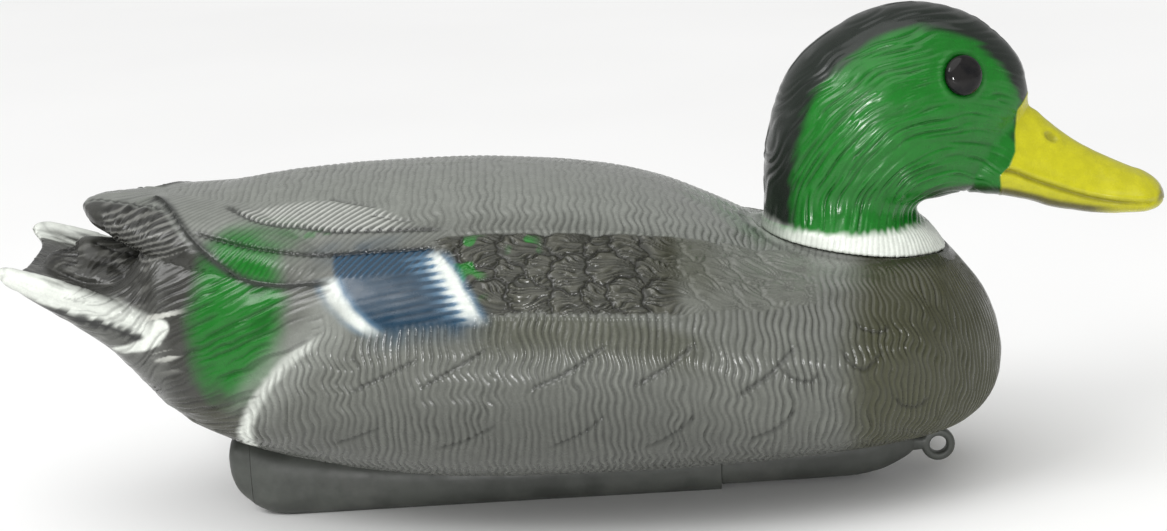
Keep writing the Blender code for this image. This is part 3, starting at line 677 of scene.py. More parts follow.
def hull_relief(p, x, g, up):
    """Height in mm that the moulded feathers add to the plain form, and masks for the paint."""
    m = SimpleNamespace()
    z = p[:, 2]
    edge = np.interp(
        g, (0, 30, 50, 66, 80, 84, 91, 100, 112, 130),
        (-150, -120, -86, -84, -88, -97, -108, -116, -120, -124)
    )
    rump = ramp(edge + 1, edge - 5, x)
    tail = ramp(-150, -158, x) * ramp(24, 34, g)
    ends = (
        (-200, 0), (-150, 0), (-134, 12), (-112, 23), (-88, 29), (-79, 32.5), (-70, 37),
        (-58, 45.5), (-50, 49)
    )
    top_edge = smooth_table([e[0] for e in ends], [e[1] for e in ends])(x)
    low_edge = height_on(QUILL_1, x)
    wing = ramp(top_edge - 3, top_edge + 3, g) * ramp(low_edge + 1, low_edge - 1, g)
    wing *= ramp(-44, -48, x) * ramp(-170, -160, x)
    front = -50.5 + (g - 60) * 0.49
    rear = -86 + 0.022 * np.maximum(g - 58, 0) ** 2
    in_patch = ramp(front + 1, front + 4, x) * ramp(78, 70, x)
    scallop = 0.7 * np.sin(x / 2.1) * np.sin(x / 1.3)
    in_patch *= (
        ramp(PATCH_TOP(x) - 0.5, PATCH_TOP(x) + 0.7, g)
        * ramp(PATCH_BOTTOM(x) + 1, PATCH_BOTTOM(x) - 0.2, g + scallop)
    )
    spec_top = height_on(QUILL_2, x)
    spec_low = 83 + (x + 70) * 0.08
    spec = ramp(spec_top - 0.5, spec_top + 0.5, g) * ramp(spec_low + 2, spec_low - 2, g)
    spec *= ramp(rear, rear + 2, x) * ramp(front + 1, front - 1, x)

    strokes = wavy_strokes(p, g)
    scales, cover = np.zeros(len(x)), np.zeros(len(x))
    near = (x > -62) & (x < 84) & (g > 20) & (g < 90)
    scales[near], cover[near] = patch_relief(x[near], g[near])
    in_patch = in_patch * cover
    plain = (1 - wing) * (1 - in_patch) * (1 - spec) * (1 - rump)
    plain *= 1 - 0.9 * window(rear - 9, front + 5, 4, x) * window(60, 84, 4, g)
    back = ramp(46, 26, g)
    worn = 0.62 + 0.38 * ramp(-0.35, 0.25, noise(p, (24, 24, 13), 8))
    h = 0.56 * strokes * plain * (1 - 0.55 * back) * worn

    flow = g + 0.12 * x + 1.2 * noise(p, (14, 8, 8), 11)
    hairs = noise(flat(flow + 0.7 * noise(p, 5, 12), x), (0.95, 10, 1), 13)
    hairs -= (
        1.1 * (0.5 + 0.5 * np.cos(2 * np.pi * flow / HAIR_PITCH)) ** 2
        * ramp(-0.3, 0.4, noise(flat(flow, x), (HAIR_PITCH, 15, 1), 17))
    )
    sharp = ramp(-152, -164, x) * ramp(9, 2, np.abs(z - hull_wide(x)))
    crest = ramp(-140, -148, x) * (np.abs(p[:, 1]) < 26) * ramp(86, 90, z)
    h += (
        (0.12 + 0.26 * ramp(-100, -118, x) + 0.25 * crest) * hairs * rump * (1 - wing)
        * (1 - 0.6 * tail * ramp(0.3, -0.1, up)) * (1 - 0.92 * sharp)
    )

    out = np.abs(p[:, 1])
    bands = (QUILL_4, QUILL_5, QUILL_3, QUILL_2, QUILL_1)
    slant = (0.62 * x + 0.78 * g + 1.6 * noise(p, 16, 14)) / BARB_PITCH
    tip = ramp(-134, -146, x - 0.3 * (g - 20))
    below0 = ramp(0.8, 3.0, out - height_on(QUILL_0, x))
    slant = np.where(tip > 0.5, (z - 0.27 * x + 0.9 * noise(p, 9, 19)) / BARB_PITCH, slant)
    wing = (
        np.maximum(
            wing * (1 - tip),
            tip * (z > 92 + 0.35 * (x + 170)) * (x < -134) * below0 * ramp(-169, -163, x)
        )
        * (1 - spec)
    )
    barbs = np.cos(2 * np.pi * slant)
    dark_line = np.zeros(len(x))
    for n, line in enumerate(bands):
        d, side, share = line_distance(x, g, line)
        ends = tapered(share, 0.06, 0.9)
        above = side < 0
        if n == 2:
            m.comb = above * 1.0
        h += (
            np.where(above, 0.62 * np.exp(-d / 4.0), -0.12 * np.exp(-d / 3.0)) * ends
            * (0.4 if n < 2 else 1)
        )
        teeth = 0.5 + 0.5 * np.cos(2 * np.pi * x / TOOTH_PITCH)
        width = 0.55 + (0.4 * teeth if n < 4 else 0.4)
        h -= 0.5 * groove(d, width) * ends
        dark_line = np.maximum(dark_line, groove(d, width * 1.4) * ends * (0.55 if n < 2 else 1))
    welt = groove(g - PATCH_TOP(x) + 1.2, 0.9) + groove(g - PATCH_BOTTOM(x) - 1.6, 0.8)
    h += 0.35 * welt * window(-42, 30, 3, x)
    d, side, share = line_distance(x, g, QUILL_1)
    ends = tapered(share, 0.04, 0.93)
    h += 0.95 * groove(d, 1.0) * ends * (1 - 0.4 * share)
    m.quill = groove(d, 1.5 - 0.6 * share) * ends
    d0, _, share0 = line_distance(x, out, QUILL_0)
    d0 = np.where(up > 0.3, d0, 99)
    tooth = 0.7 + 0.5 * np.cos(2 * np.pi * share0 * 9)
    dark_line = np.maximum(dark_line, groove(d0, 1.1 * tooth) * ramp(1, 0.9, share0))
    h -= 0.4 * groove(d0, 0.8 * tooth)
    shade = ramp(spec_top - 3, spec_top + 3, g)
    barb_depth = (
        (0.27 + 0.03 * tip - 0.14 * shade * (1 - tip)) * wing
        * (0.2 + 0.8 * ramp(16, 36, g + 0.35 * (x + 100))) * (1 - m.quill)
    )
    h += barb_depth * barbs * (0.8 + 0.4 * noise(p, 11, 18))
    m.barb = barbs * wing

    level = (
        np.cos(2 * np.pi * (g + 0.05 * x + 0.4 * noise(p, 9, 15)) / LEVEL_PITCH)
        * ramp(-84, -58, x + 4 * noise(flat(g, x), (3, 30, 1), 20))
    )
    lean = np.cos(2 * np.pi * (0.66 * x + 0.75 * g) / LEAN_PITCH)
    upper = ramp(spec_top + 9.5, spec_top + 8.0, g)
    h += spec * (0.15 * upper * lean + 0.035 * (1 - upper) * level)
    h += 0.3 * window(front - 3, front + 3, 1.2, x) * window(61, 84, 3, g) * (0.9 + 0.5 * level)
    m.level = level
    h = h * (1 - in_patch) + scales * in_patch * (0.65 + 0.35 * ramp(34, 24, x))

    slash = np.zeros(len(x))
    for n, line in enumerate(CUTS):
        d, side, share = line_distance(x + 0.5 * noise(p, 6, 16), g, curve(list(line), 4))
        ends = tapered(share, 0.2, 0.85)
        strength = ends * (1.0 if n < 5 else 0.75)
        h += np.where(side > 0, 0.42, -0.12) * np.exp(-d / 2.6) * strength
        h -= 0.62 * groove(d, 0.62) * strength
        slash = np.maximum(slash, groove(d, 0.75) * strength)
    for line in CRESCENTS:
        d, side, share = line_distance(x, g, curve(list(line), 3))
        ends = tapered(share, 0.15, 0.85)
        h += np.where(side < 0, 0.3, -0.05) * np.exp(-d / 1.8) * ends - 0.45 * groove(d, 0.6) * ends
        slash = np.maximum(slash, groove(d, 0.7) * ends)
    m.rump, m.tip, m.below0, m.patch, m.spec, m.front, m.rear = (
        rump, tip, below0, in_patch, spec, front, rear
    )
    m.dark_line, m.slash, m.strokes, m.hairs = (
        dark_line, slash, strokes * plain, hairs * rump * (1 - wing)
    )
    m.scales, m.upper, m.lean = scales, upper, lean
    return h, m


TAIL_HALF = 38.5


def neck_way(p):
    """Distance from the upright line through the neck's middle."""
    return np.hypot(p[:, 0] - NECK[0], p[:, 1])


def tail_paint(c, p, normals, x, fine):
    """Dark upper side and coverts. The outer feathers get a white rim and a toothed dark line."""
    y, z, up = np.abs(p[:, 1]), p[:, 2], normals[:, 2]
    behind = ramp(-141, -149, x)
    rim = z - hull_wide(x)
    under_wing = ramp(104, 101, z + 0.2 * np.maximum(x + 160, 0))
    streak = noise(p, (15, 1.5, 1.8), 40)
    inner = (
        behind * np.maximum(ramp(0.0, 0.35, up) * (z > hull_wide(x) - 8), (y < 21) & (z > 83))
        * under_wing
    )
    outer = behind * (1 - inner) * under_wing
    c.add(srgb(56, 56, 52), inner * 0.97)
    c.add(srgb(120, 120, 115), inner * 0.5 * ramp(0.3, 0.8, streak))
    c.add(BLACK, inner * 0.6 * ramp(-0.2, -0.7, streak))
    reach = np.interp(x, (-200, -192, -180, -160), (15, 12, 8, 4))
    c.add(
        WHITE,
        inner * ramp(
            reach + 4, reach - 7, TAIL_HALF - y + 5 * streak
        ) * ramp(-160, -184, x) * 0.85 * (y > 15)
    )
    c.add(srgb(96, 97, 93), outer * 0.85)
    c.add(srgb(150, 151, 146), outer * 0.6 * ramp(0.0, 0.6, streak) * ramp(-14, -7, rim))
    roll = np.where(up > 0, np.maximum(np.abs(rim), TAIL_HALF - y), np.abs(rim))
    c.add(
        WHITE,
        behind * under_wing * ramp(6.0, 3.0, roll + 0.3 * streak) * ramp(-144, -152, x) * (
            0.95 - 0.4 * ramp(-180, -160, x) * ramp(-1, 4, rim)
        ) * ramp(24, 29, y)
    )
    hatch = ramp(-0.3, 0.3, noise(flat(x - 0.8 * rim, rim), (1.5, 7, 1), 49)) * ramp(-194, -178, x)
    line = np.maximum(window(-6.3, -4.9, 0.8, rim), hatch * window(-7.6, -3.0, 1.6, rim))
    c.add(BLACK * 1.3, outer * 0.85 * line * ramp(-150, -153, x))
    d, _, share = line_distance(
        x, z, curve([(-145, 79.5), (-147.5, 75.5), (-153, 72.5), (-165, 70)], 2)
    )
    c.add(
        WHITE,
        (y > 24) * ramp(
            3.4 - 1.6 * share, 2.0 - 1.6 * share, d + 0.4 * fine
        ) * ramp(1, 0.85, share) * 0.95
    )
    light = noise(flat(z - 0.25 * x + 0.6 * noise(p, 6, 48), x), (1.2, 16, 1), 43)
    c.add(
        srgb(205, 206, 198),
        0.75 * ramp(0.45, 0.75, light) * window(-150, -138, 4, x) * window(66, 90, 5, z) * (y > 22)
    )


def hull_paint(p, normals, x, g, m):
    """Sprayed paint laid in a painter's order, with painted light: a lighter back, shade below and
    in grooves, highlights on crests.
    """
    z, up = p[:, 2], normals[:, 2]
    soft = noise(p, 22, 31)
    fine = noise(p, 3.2, 32)
    c = Coats(GREY, len(x))
    # Painted light from above: a lighter grey over the back and a darker grey towards the
    # underside.
    c.add(PALE_GREY, ramp(60, 34, g) * 0.8)
    c.add(GREY * 0.66, 0.85 * ramp(94, 122, g))
    c.colour *= (1 + 0.06 * soft + 0.035 * fine)[:, None]

    edge = 90 - 5 * ramp(40, 70, g) + 2.5 * noise(p, 16, 33)
    c.add(BROWN, ramp(edge - 8, edge + 6, x) * (0.95 + 0.05 * fine))
    haze = ramp(26, 4, np.abs(x - 57) * 0.8 + np.abs(g - 6) * 0.9) * 0.6
    c.add(GREEN, haze * (0.7 + 0.5 * noise(p, 7, 34)))
    c.add(GREEN * 0.7, 0.28 * ramp(112, 122, x) * ramp(80, 92, z))

    behind_rib = (
        ramp(1.5, 3.5, np.interp(g, [q[1] for q in QUILL_1[:40]], [q[0] for q in QUILL_1[:40]]) - x)
        * ramp(-128, -136, x)
    )
    c.add(srgb(48, 48, 45), behind_rib * m.below0 * 0.92 * (z > 88))
    # Painted shade on the wing tip's lower sides, which face away from the light above.
    c.add(srgb(44, 44, 41), behind_rib * ramp(0.45, 0.1, up) * 0.8 * (z > 88))
    c.add(DARK, ramp(-162, -174, x) * ramp(0.9, 0.6, up) * (z > 98) * 0.8)
    # Painted shade under the overhanging wing tips and coverts.
    c.add(DARK, (z > 90) * ramp(0.25, -0.2, up) * ramp(-128, -140, x) * 0.85)
    c.add(DARK, m.rump * ramp(34, 44, g) * 0.9 * ramp(-110, -122, x))
    c.add(BROWN * 0.9, m.rump * ramp(84, 104, g) * 0.7)
    spot = np.hypot((x + 119) / 17, (g - 67) / 29) + 0.09 * noise(p, 6, 35)
    c.add(GREEN * 0.92, ramp(1.22, 0.72, spot))
    c.add(
        GREEN * 0.92,
        0.6 * ramp(
            1.2, 0.5, np.hypot((x + 112) / 20, (g - 46) / 13)
        ) * (0.6 + 0.6 * noise(p, 5, 36))
    )
    c.add(
        GREEN,
        0.5 * ramp(2.2, 0.8, np.abs(g - 44)) * window(-98, -84, 3, x) * ramp(
            -0.2, 0.3, noise(p, 3, 44)
        )
    )

    c.add(BROWN, 0.5 * ramp(81, 86, g) * ramp(101, 90, g) * window(-38, 34, 8, x))
    side = m.patch * ramp(31, 25.5, x + 2 * fine)
    c.add(srgb(40, 41, 33), side * 0.98)
    # Painted highlight on the raised scales.
    c.add(srgb(88, 88, 78), side * ramp(0.15, 0.8, m.scales + 0.3 * fine) * 0.6)
    # Dark feather outlines in the low places, partly painted shade in the hollows.
    c.add(srgb(26, 25, 22), m.patch * ramp(0.05, -0.35, m.scales) * np.where(x < 28, 0.8, 0.3))
    c.add(srgb(108, 110, 103), m.patch * ramp(25.5, 31, x) * 0.6)
    c.add(BROWN, m.patch * window(22, 40, 7, x) * ramp(74, 60, g) * 0.45)
    dabs = ramp(0.1, 0.4, noise(p, (4, 4, 3), 37)) * window(-45, -36, 3, x) * window(54, 76, 3, g)
    dabs = np.maximum(
        dabs,
        ramp(0.25, 0.5, noise(p, (4, 4, 3), 45)) * window(-26, -18, 3, x) * window(54, 62, 2, g)
    )
    c.add(GREEN * 1.15, dabs * m.patch * 0.9)

    c.add(
        BLUE * 1.25,
        0.75 * ramp(93, 83, g) * ramp(78, 83, g) * window(-72, -38, 8, x) * (
            0.8 + 0.4 * noise(p, 5, 46)
        )
    )
    c.add(
        BLUE * 1.1,
        0.45 * window(-92, -60, 6, x) * window(50, 58, 3, g) * (0.6 + 0.6 * noise(p, 5, 47))
    )
    c.add(BLUE, m.spec * (0.93 + 0.07 * fine))
    # Painted highlight on the speculum's slanting crests, painted shade in the troughs of its
    # lines.
    c.add(BLUE * 2.6, m.spec * m.upper * ramp(0.3, 0.9, m.lean) * 0.5)
    c.add(BLUE * 0.55, m.spec * ramp(0.2, 0.95, -m.level) * (1 - m.upper) * 0.6)
    c.add(BLUE * 0.5, m.spec * ramp(0.2, 0.9, -m.lean) * m.upper * 0.6)

    ahead = x - m.front
    streaks = 0.35 + 0.65 * ramp(0.5, -0.5, m.level)
    bar = np.where(ahead < 0, -0.42 * ahead / (0.25 + 0.75 * streaks), ahead) + 0.5 * fine
    spray = ramp(57, 62, g) * ramp(87, 80, g)
    c.add(BLUE * 4.0 + WHITE * 0.16, ramp(5.2, 2.0, bar * 0.9) * spray * 0.55)
    c.add(WHITE, ramp(3.4, 0.7, bar * (1 + 0.5 * ramp(68, 60, g))) * spray * 0.86)
    bar = np.abs(x - m.rear + 1.5) + 0.5 * fine
    spray = ramp(61, 65, g) * ramp(86, 80, g)
    c.add(BLUE * 4.0 + WHITE * 0.16, ramp(6.4, 2.8, bar) * spray * 0.5)
    c.add(WHITE, ramp(3.9, 1.0, bar) * spray * 0.84)
    d, _, share = line_distance(
        x, g, curve([(-120, 122), (-120, 112), (-116, 100), (-108, 91), (-97, 84), (-88, 80)])
    )
    c.add(WHITE, ramp(4.4, 1.3, d + 0.6 * fine + 1.2 * share) * ramp(1.0, 0.86, share) * 0.9)
    c.add(PALE_GREY, 0.55 * ramp(13, 4, d) * ramp(0.2, 0.5, share))
    c.add(PALE_GREY, 0.5 * window(-92, -84, 4, x) * window(66, 82, 4, g))
    tail_paint(c, p, normals, x, fine)

    c.add(c.colour * 0.2 + BLACK * 0.25, m.dark_line * 0.9)
    c.add(srgb(48, 50, 47), m.quill * 0.85)
    # Pale barb tips in the comb, partly painted highlight on the barb crests.
    c.add(
        srgb(186, 188, 182),
        0.75 * ramp(0.0, 0.8, m.barb) * window(-120, -62, 8, x) * ramp(26, 29, g) * m.comb
    )
    # Painted shade in the grooves of the strokes, then painted highlight on their crests.
    c.dim(0.36 * ramp(0.0, -0.95, m.strokes) * (0.6 + 0.4 * ramp(-0.3, 0.3, soft)))
    c.add(c.colour * 1.45, 0.55 * ramp(0.1, 0.4, m.strokes) * ramp(50, 70, g))
    # Painted shade in the grooves of the rump's hairs, the cuts and the barbs.
    c.dim(0.36 * ramp(-0.15, -1.0, m.hairs))
    c.dim(0.45 * m.slash)
    c.dim((0.24 + 0.22 * m.tip) * ramp(0.3, -1, m.barb))
    # Painted highlight on the crests of the wing tip's barbs.
    c.add(srgb(128, 128, 123), 0.6 * m.tip * ramp(0.2, 0.9, m.barb))

    d_neck = (p - NECK) @ NECK_AXIS
    near = neck_way(p)
    # Painted shade on the hull round the seam under the head.
    c.dim(0.4 * (ramp(-3.2, -0.6, d_neck) * (near < 40)))
    c.add(WHITE, 0.3 * ramp(38.5, 34, near + 1.5 * fine) * ramp(-6, -2, d_neck) * ramp(70, 60, x))
    return c.colour


# The skin is pressed down to SEAT_DROP mm below the head's edge, and less further out.
SEAT_SLOPE, SEAT_DROP = 0.9, 0.2
HULL_LINE, HEAD_LINE = 0.28, 0.3  # height of the mould lines in mm


def build_hull():
    """The floating body with wings, coverts, rolled tail edge and the neck's root."""
    ring_sets = [
        tube_rings(HULL, HULL_UPPER, HULL_LOWER, 160, 2.0),
        tube_rings(WING_TIPS, 2.2, 2.2, 80, 1.5),
        tube_rings(COVERTS, 1.45, 2.0, 60, 1.5),
        tube_rings(UNDER_COVERTS, 1.6, 2.0, 60, 1.5),
        rim_rings(1),
        rim_rings(-1),
        spun_rings(
            ((NECK_R, -0.3), (NECK_R + 0.4, -1.0), (NECK_R + 3, -6), (NECK_R + 8, -14)), NECK,
            NECK_AXIS, 120
        ),
    ]
    obj = fused("hull_feathers", ring_sets, HULL_VOXEL)
    mesh = obj.data
    p = relaxed(points_of(mesh), edges_of(mesh), RELAX_ROUNDS)
    above = (p - NECK) @ NECK_AXIS
    reach = np.linalg.norm(p - NECK - above[:, None] * NECK_AXIS, axis=1)
    seat = SEAT_SLOPE * np.maximum(reach - NECK_R - 1.2, 0) - SEAT_DROP
    p -= NECK_AXIS * (np.maximum(above - seat, 0) * (reach < NECK_R + 10))[:, None]
    set_points(mesh, p)
    normals = normals_of(mesh)
    x, g = p[:, 0], skin_way(p)
    h, masks = hull_relief(p, x, g, normals[:, 2])
    near_neck = (neck_way(p) < 36) & (((p - NECK) @ NECK_AXIS) > -2.5)
    h = np.where(near_neck, np.minimum(h, 0) * 0.3, h)
    flash = (
        groove(p[:, 1], 0.55) * ramp(-0.2, 0.6, noise(p, 7, 41)) * (normals[:, 2] > -0.3)
        * (reach > NECK_R)
    )
    h = h + HULL_LINE * flash
    h = h + 0.05 * noise(p, 6, 42)
    colours = hull_paint(p, normals, x, g, masks)
    finished(obj, p + normals * h[:, None], h, colours)
    hull_sheet(mesh, p, g)
    return obj


# ---- head relief and paint
def head_profile():
    """The head's outline in the middle plane, from the nape over the crown to the bill."""
    back = [(row[0], row[1]) for row in HEAD[1:]]
    front = [(row[2], row[3]) for row in HEAD[::-1] if row[3] > 120]
    return curve(back + front, 2.5)


NOSTRIL = (160.4, 120.6)
CURL = (124, 90)  # x and z that the head's strands run round
STRAND_PITCH = 1.9


def bill_edge(z):
    """x where the bill's paint begins, by height."""
    return np.interp(
        z, (94, 103, 109.5, 112, 117, 131, 136), (143.5, 142.0, 141.6, 144.6, 147.0, 148.6, 153.5)
    )


def build_head():
    """The head with its neck ring, strands, painted hood and bill."""
    rings = head_rings(HEAD, 120, 5)
    rings[0] += NECK_AXIS * 0.3
    obj = fused("head_feathers", [rings, tube_rings(BILL, 1.75, 2.2, 92, 1.0)], HEAD_VOXEL)
    mesh = obj.data
    p = relaxed(points_of(mesh), edges_of(mesh), RELAX_ROUNDS)
    join = window(138, 157, 6, p[:, 0]) * (p[:, 2] < 142)
    p = softened(p, edges_of(mesh), join, BLEND_ROUNDS)
    set_points(mesh, p)
    normals = normals_of(mesh)
    x, y, z = p.T
    ya = np.abs(y)
    t = (p - NECK) @ NECK_AXIS
    around = np.arctan2(ya, x - NECK[0] - (z - NECK[2]) * math.tan(LEAN))
    ring_top = 4.6 + 3.8 * ramp(2.6, 0.6, around)
    ring = ramp(ring_top + 1.2, ring_top - 0.8, t)
    bill = ramp(-0.35, 0.35, x - bill_edge(z) + 0.25 * noise(p, 3, 51))

    cx, cz = x - CURL[0], z - CURL[1]
    psi = np.hypot(cx, cz * 0.97)
    arc = np.arctan2(cz, -cx) * np.maximum(psi, 12)
    wavy = psi + 0.8 * noise(p, 11, 52) + 0.45 * np.sin(arc / 4.4 + 2.2 * noise(p, 16, 53))
    hair = noise(flat(wavy, arc), (0.95, 11, 1), 54) + 0.5 * noise(flat(wavy, arc), (0.7, 6, 1), 55)
    strand = (
        -(0.5 + 0.5 * np.cos(2 * np.pi * wavy / STRAND_PITCH)) ** 2
        * ramp(-0.35, 0.35, noise(flat(wavy, arc), (STRAND_PITCH, 14, 1), 56))
    )
    face = ramp(10, 17, np.hypot(x - EYE[0], z - EYE[2])) * ramp(0, 16, bill_edge(z) - x)
    calm = (1 - bill) * (1 - ramp(ring_top + 2, ring_top - 2, t)) * (0.25 + 0.75 * face)
    outline, _, share = line_distance(x, z, head_profile())
    calm *= 0.35 + 0.65 * ramp(3, 13, outline)
    h = calm * (0.30 * hair + 0.54 * strand)

    ribs = np.cos(2 * np.pi * around * NECK_R / 2.0 + 0.8 * noise(p, 4, 57))
    h += (
        ramp(ring_top + 0.5, ring_top - 1.5, t) * (0.5 + 0.1 * ribs * ramp(2.8, 1.9, around))
        * ramp(-0.2, 0.8, t)
    )
    h += 0.45 * bill * ramp(1.5, 0, x - bill_edge(z)) * 0.5
    lips = (
        smooth_table(
            (141, 146, 152, 162, 173, 184, 192, 197),
            (111.5, 110.3, 107.4, 103.2, 99.4, 97.2, 96.6, 97.0)
        )(x)
    )
    side = ramp(5, 8, ya) * bill
    h -= 1.0 * groove(z - lips, 0.8) * side * ramp(199, 192, x)
    h += 0.4 * groove(z - lips - 2.2, 1.2) * side
    nx, nz = x - NOSTRIL[0], z - NOSTRIL[1]
    along, across = nx * 0.84 - nz * 0.54, nx * 0.54 + nz * 0.84
    nostril = np.hypot(along / 1.9, across)
    h -= 0.8 * ramp(1.7, 0.6, nostril) * bill * (ya > 2)
    h += 0.2 * window(1.7, 2.8, 0.6, nostril) * bill * (ya > 2)
    nail = ramp(189.5, 192.5, x - 0.10 * ya**1.6) * (normals[:, 2] > 0)
    h += 0.28 * nail
    h += bill * (0.04 * noise(p, 2.2, 58) + 0.10 * noise(p, (9, 3, 3), 59))
    eye = np.where(y[:, None] > 0, EYE, EYE * (1, -1, 1))
    eye_d = np.linalg.norm(p - eye, axis=1)
    h += 0.4 * np.exp(-(((eye_d - 8.1) / 1.2) ** 2)) - 0.5 * ramp(7.2, 6.4, eye_d)
    flash = groove(y, 0.5) * ramp(-0.1, 0.6, noise(p, 6, 60)) * (1 - bill) * ramp(100, 110, z)
    h += HEAD_LINE * flash

    soft, fine = noise(p, 14, 61), noise(p, 2.4, 62)
    c = Coats(GREEN, len(p))
    c.colour *= (1 + 0.10 * soft + 0.05 * fine)[:, None]
    # Painted shade in the strand grooves, painted highlight on the strand crests.
    c.add(GREEN * 0.62, 0.7 * ramp(-0.1, -0.9, calm * (hair * 0.6 + strand)))
    c.add(GREEN * np.array((1.9, 1.25, 1.7)), 0.35 * ramp(0.35, 1.1, calm * hair))
    band = np.interp(
        share, (0, 0.12, 0.35, 0.52, 0.72, 0.86, 1.0), (8.0, 8.3, 8.8, 7.2, 6.6, 6.4, 3.0)
    )
    crown = (
        ramp(band + 1.8, band - 1.8, outline + 1.1 * noise(flat(wavy, arc), (1.3, 8, 1), 63))
        * (z > 97)
    )
    c.add(BLACK, crown * (1 - bill) * 0.97)
    # Painted highlight on the raised strands of the black crown.
    c.add(srgb(90, 92, 90), crown * (1 - bill) * 0.30 * ramp(0.5, 1.2, hair))
    # Painted shade on the down-facing chin and throat.
    shaded_under = ramp(-0.42, -0.72, normals[:, 2]) * ramp(110, 120, x)
    c.add(srgb(40, 42, 34), shaded_under * (1 - bill) * 0.8)
    c.add(YELLOW, bill)
    c.colour *= (1 + bill * (0.035 * noise(p, 8, 64) + 0.02 * fine))[:, None]
    # A darker mouth line, partly painted shade in the lip groove.
    c.add(srgb(112, 106, 26), bill * 0.75 * groove(z - lips, 1.1) * side * ramp(198, 180, x))
    c.add(srgb(128, 124, 34), bill * 0.6 * ramp(1.9, 0.7, nostril) * (ya > 2))
    c.add(
        srgb(74, 62, 38),
        bill * 0.7 * ramp(198.2, 199.6, x + 0.06 * ya**1.6 + 0.5 * soft) * ramp(95, 98, z)
    )
    # Painted shade under the bill.
    c.add(srgb(58, 52, 38), bill * 0.85 * shaded_under * ramp(184, 172, x))
    white_edge = ring_top + 0.8 * noise(flat(around * 30, t), (1.4, 4, 1), 65)
    nape = ramp(2.0, 2.8, around)
    c.add(
        WHITE,
        ramp(white_edge + 1.6 + nape, white_edge - 1.2 - 1.5 * nape, t) * (0.97 - 0.25 * nape)
    )
    # Painted shade in the troughs of the ring's ribs.
    c.dim(0.16 * ramp(-0.3, -1, ribs) * ring)
    c.add(BLACK * 1.4, ring * ramp(2.35, 2.75, around) * 0.35)
    c.add(GREEN * 0.45, ramp(9.0, 7.4, eye_d) * 0.55)

    finished(obj, p + normals * h[:, None], h, c.colour)
    head_sheet(mesh, p)
    return obj


EYE = np.array((128.8, 20.6, 146.2))
EYE_OUT = np.array((0.38, 1.0, 0.20))
EYE_R, EYE_DOME = 6.8, 2.8


def build_eye(name, side):
    """A smooth domed insert with a rolled rim."""
    outline = [(0.02, EYE_DOME)]
    outline += [(EYE_R * math.sin(a), EYE_DOME * math.cos(a)) for a in np.linspace(0.08, 1.45, 18)]
    outline += [(EYE_R + 0.05, 0.0), (EYE_R, -0.9), (EYE_R - 0.3, -1.2), (0.02, -1.2)]
    centre = (EYE[0], side * EYE[1], EYE[2])
    rings = spun_rings(outline, centre, (EYE_OUT[0], side * EYE_OUT[1], EYE_OUT[2]), 64)
    return new_object(name, *skin(rings))


# ---- keel
# Station x, underside, half width, and then the top where it isn't the hull.
KEEL_TUBE = np.array((
    (-123, 4.2, 13.2), (-119, 2, 13.7), (-114, 0.5, 14), (-108, 0, 14), (-70, 0, 13.2),
    (-20, 0, 12.2), (42, 0, 11.2),
))
KEEL_CAP = np.array((
    (-131.5, 20.3, 1.2, 20.9), (-131.1, 18, 6.8, 23), (-130.4, 14, 9.6, 26),
    (-128.2, 9.2, 11.6, 27.6), (-123.15, 4.4, 13.1, 28.3),
))
KEEL_NOSE = np.array((
    (42.05, 1.7, 10.4, 16.6), (60, 1.7, 10, 16.6), (88, 1.9, 8.8, 16.8), (98, 3.2, 7.6, 16.9),
    (105, 5.6, 5.8, 16.4), (110, 8, 3.4, 14.2), (112, 9.6, 1.6, 12.4),
))
KEEL_WALL = 2.2
CAP_SEAM, KEEL_STEP = -123.0, 42.0
SCREW_FRONT, SCREW_REAR, PILLAR_R = 70.0, -96.0, 6.6
EYELET = np.array((120.0, 0.0, 10.2))
EYELET_R, EYELET_THICK, EYELET_HALF = 4.5, 1.5, 2.2
SHARP = math.radians(38)


def keel_rings(xs, low, half, top, inset=0.0, count=96):
    """Rings of a rounded bar whose underside is pressed flat at its lowest height."""
    low, half, top = low + inset, half - inset, top - inset
    across, up = superellipse(turns(count), 2.7, 3.2)
    middle = ((top + low) / 2)[:, None]
    reach = np.where(up > 0, top[:, None] - middle, (middle - low[:, None]) * 1.12)
    z = np.maximum(middle + up * reach, low[:, None])
    return np.stack((xs[:, None] + 0 * z, half[:, None] * across, z), axis=2)


def tube_part(first, last, inset=0.0, step=2.0):
    xs = np.linspace(first, last, int((last - first) / step) + 1)
    low, half = columns(KEEL_TUBE, xs)
    return keel_rings(xs, low, half, hull_low(xs) - 0.5, inset)


def table_part(rows, step):
    xs = stations(rows, step)
    return keel_rings(xs, *columns(rows, xs))


def cut(obj, tool, operation="DIFFERENCE"):
    """Takes a mesh object or a skin over rings out of an object, or joins it on."""
    if not isinstance(tool, bpy.types.Object):
        tool = new_object("tool", *skin(tool))
    modifier = obj.modifiers.new("cut", "BOOLEAN")
    modifier.operation, modifier.solver, modifier.object = operation, "EXACT", tool
    applied(obj)
    bpy.data.objects.remove(tool)


def screw_hole(x):
    """Clearance hole, counterbore and a chamfer at the sole."""
    outline = ((2.05, 60), (2.05, 6.5), (5.2, 6.5), (5.2, 0.4), (5.8, -0.2), (5.8, -4))
    return spun_rings(outline, (x, 0, 0), (0, 0, 1), 48)


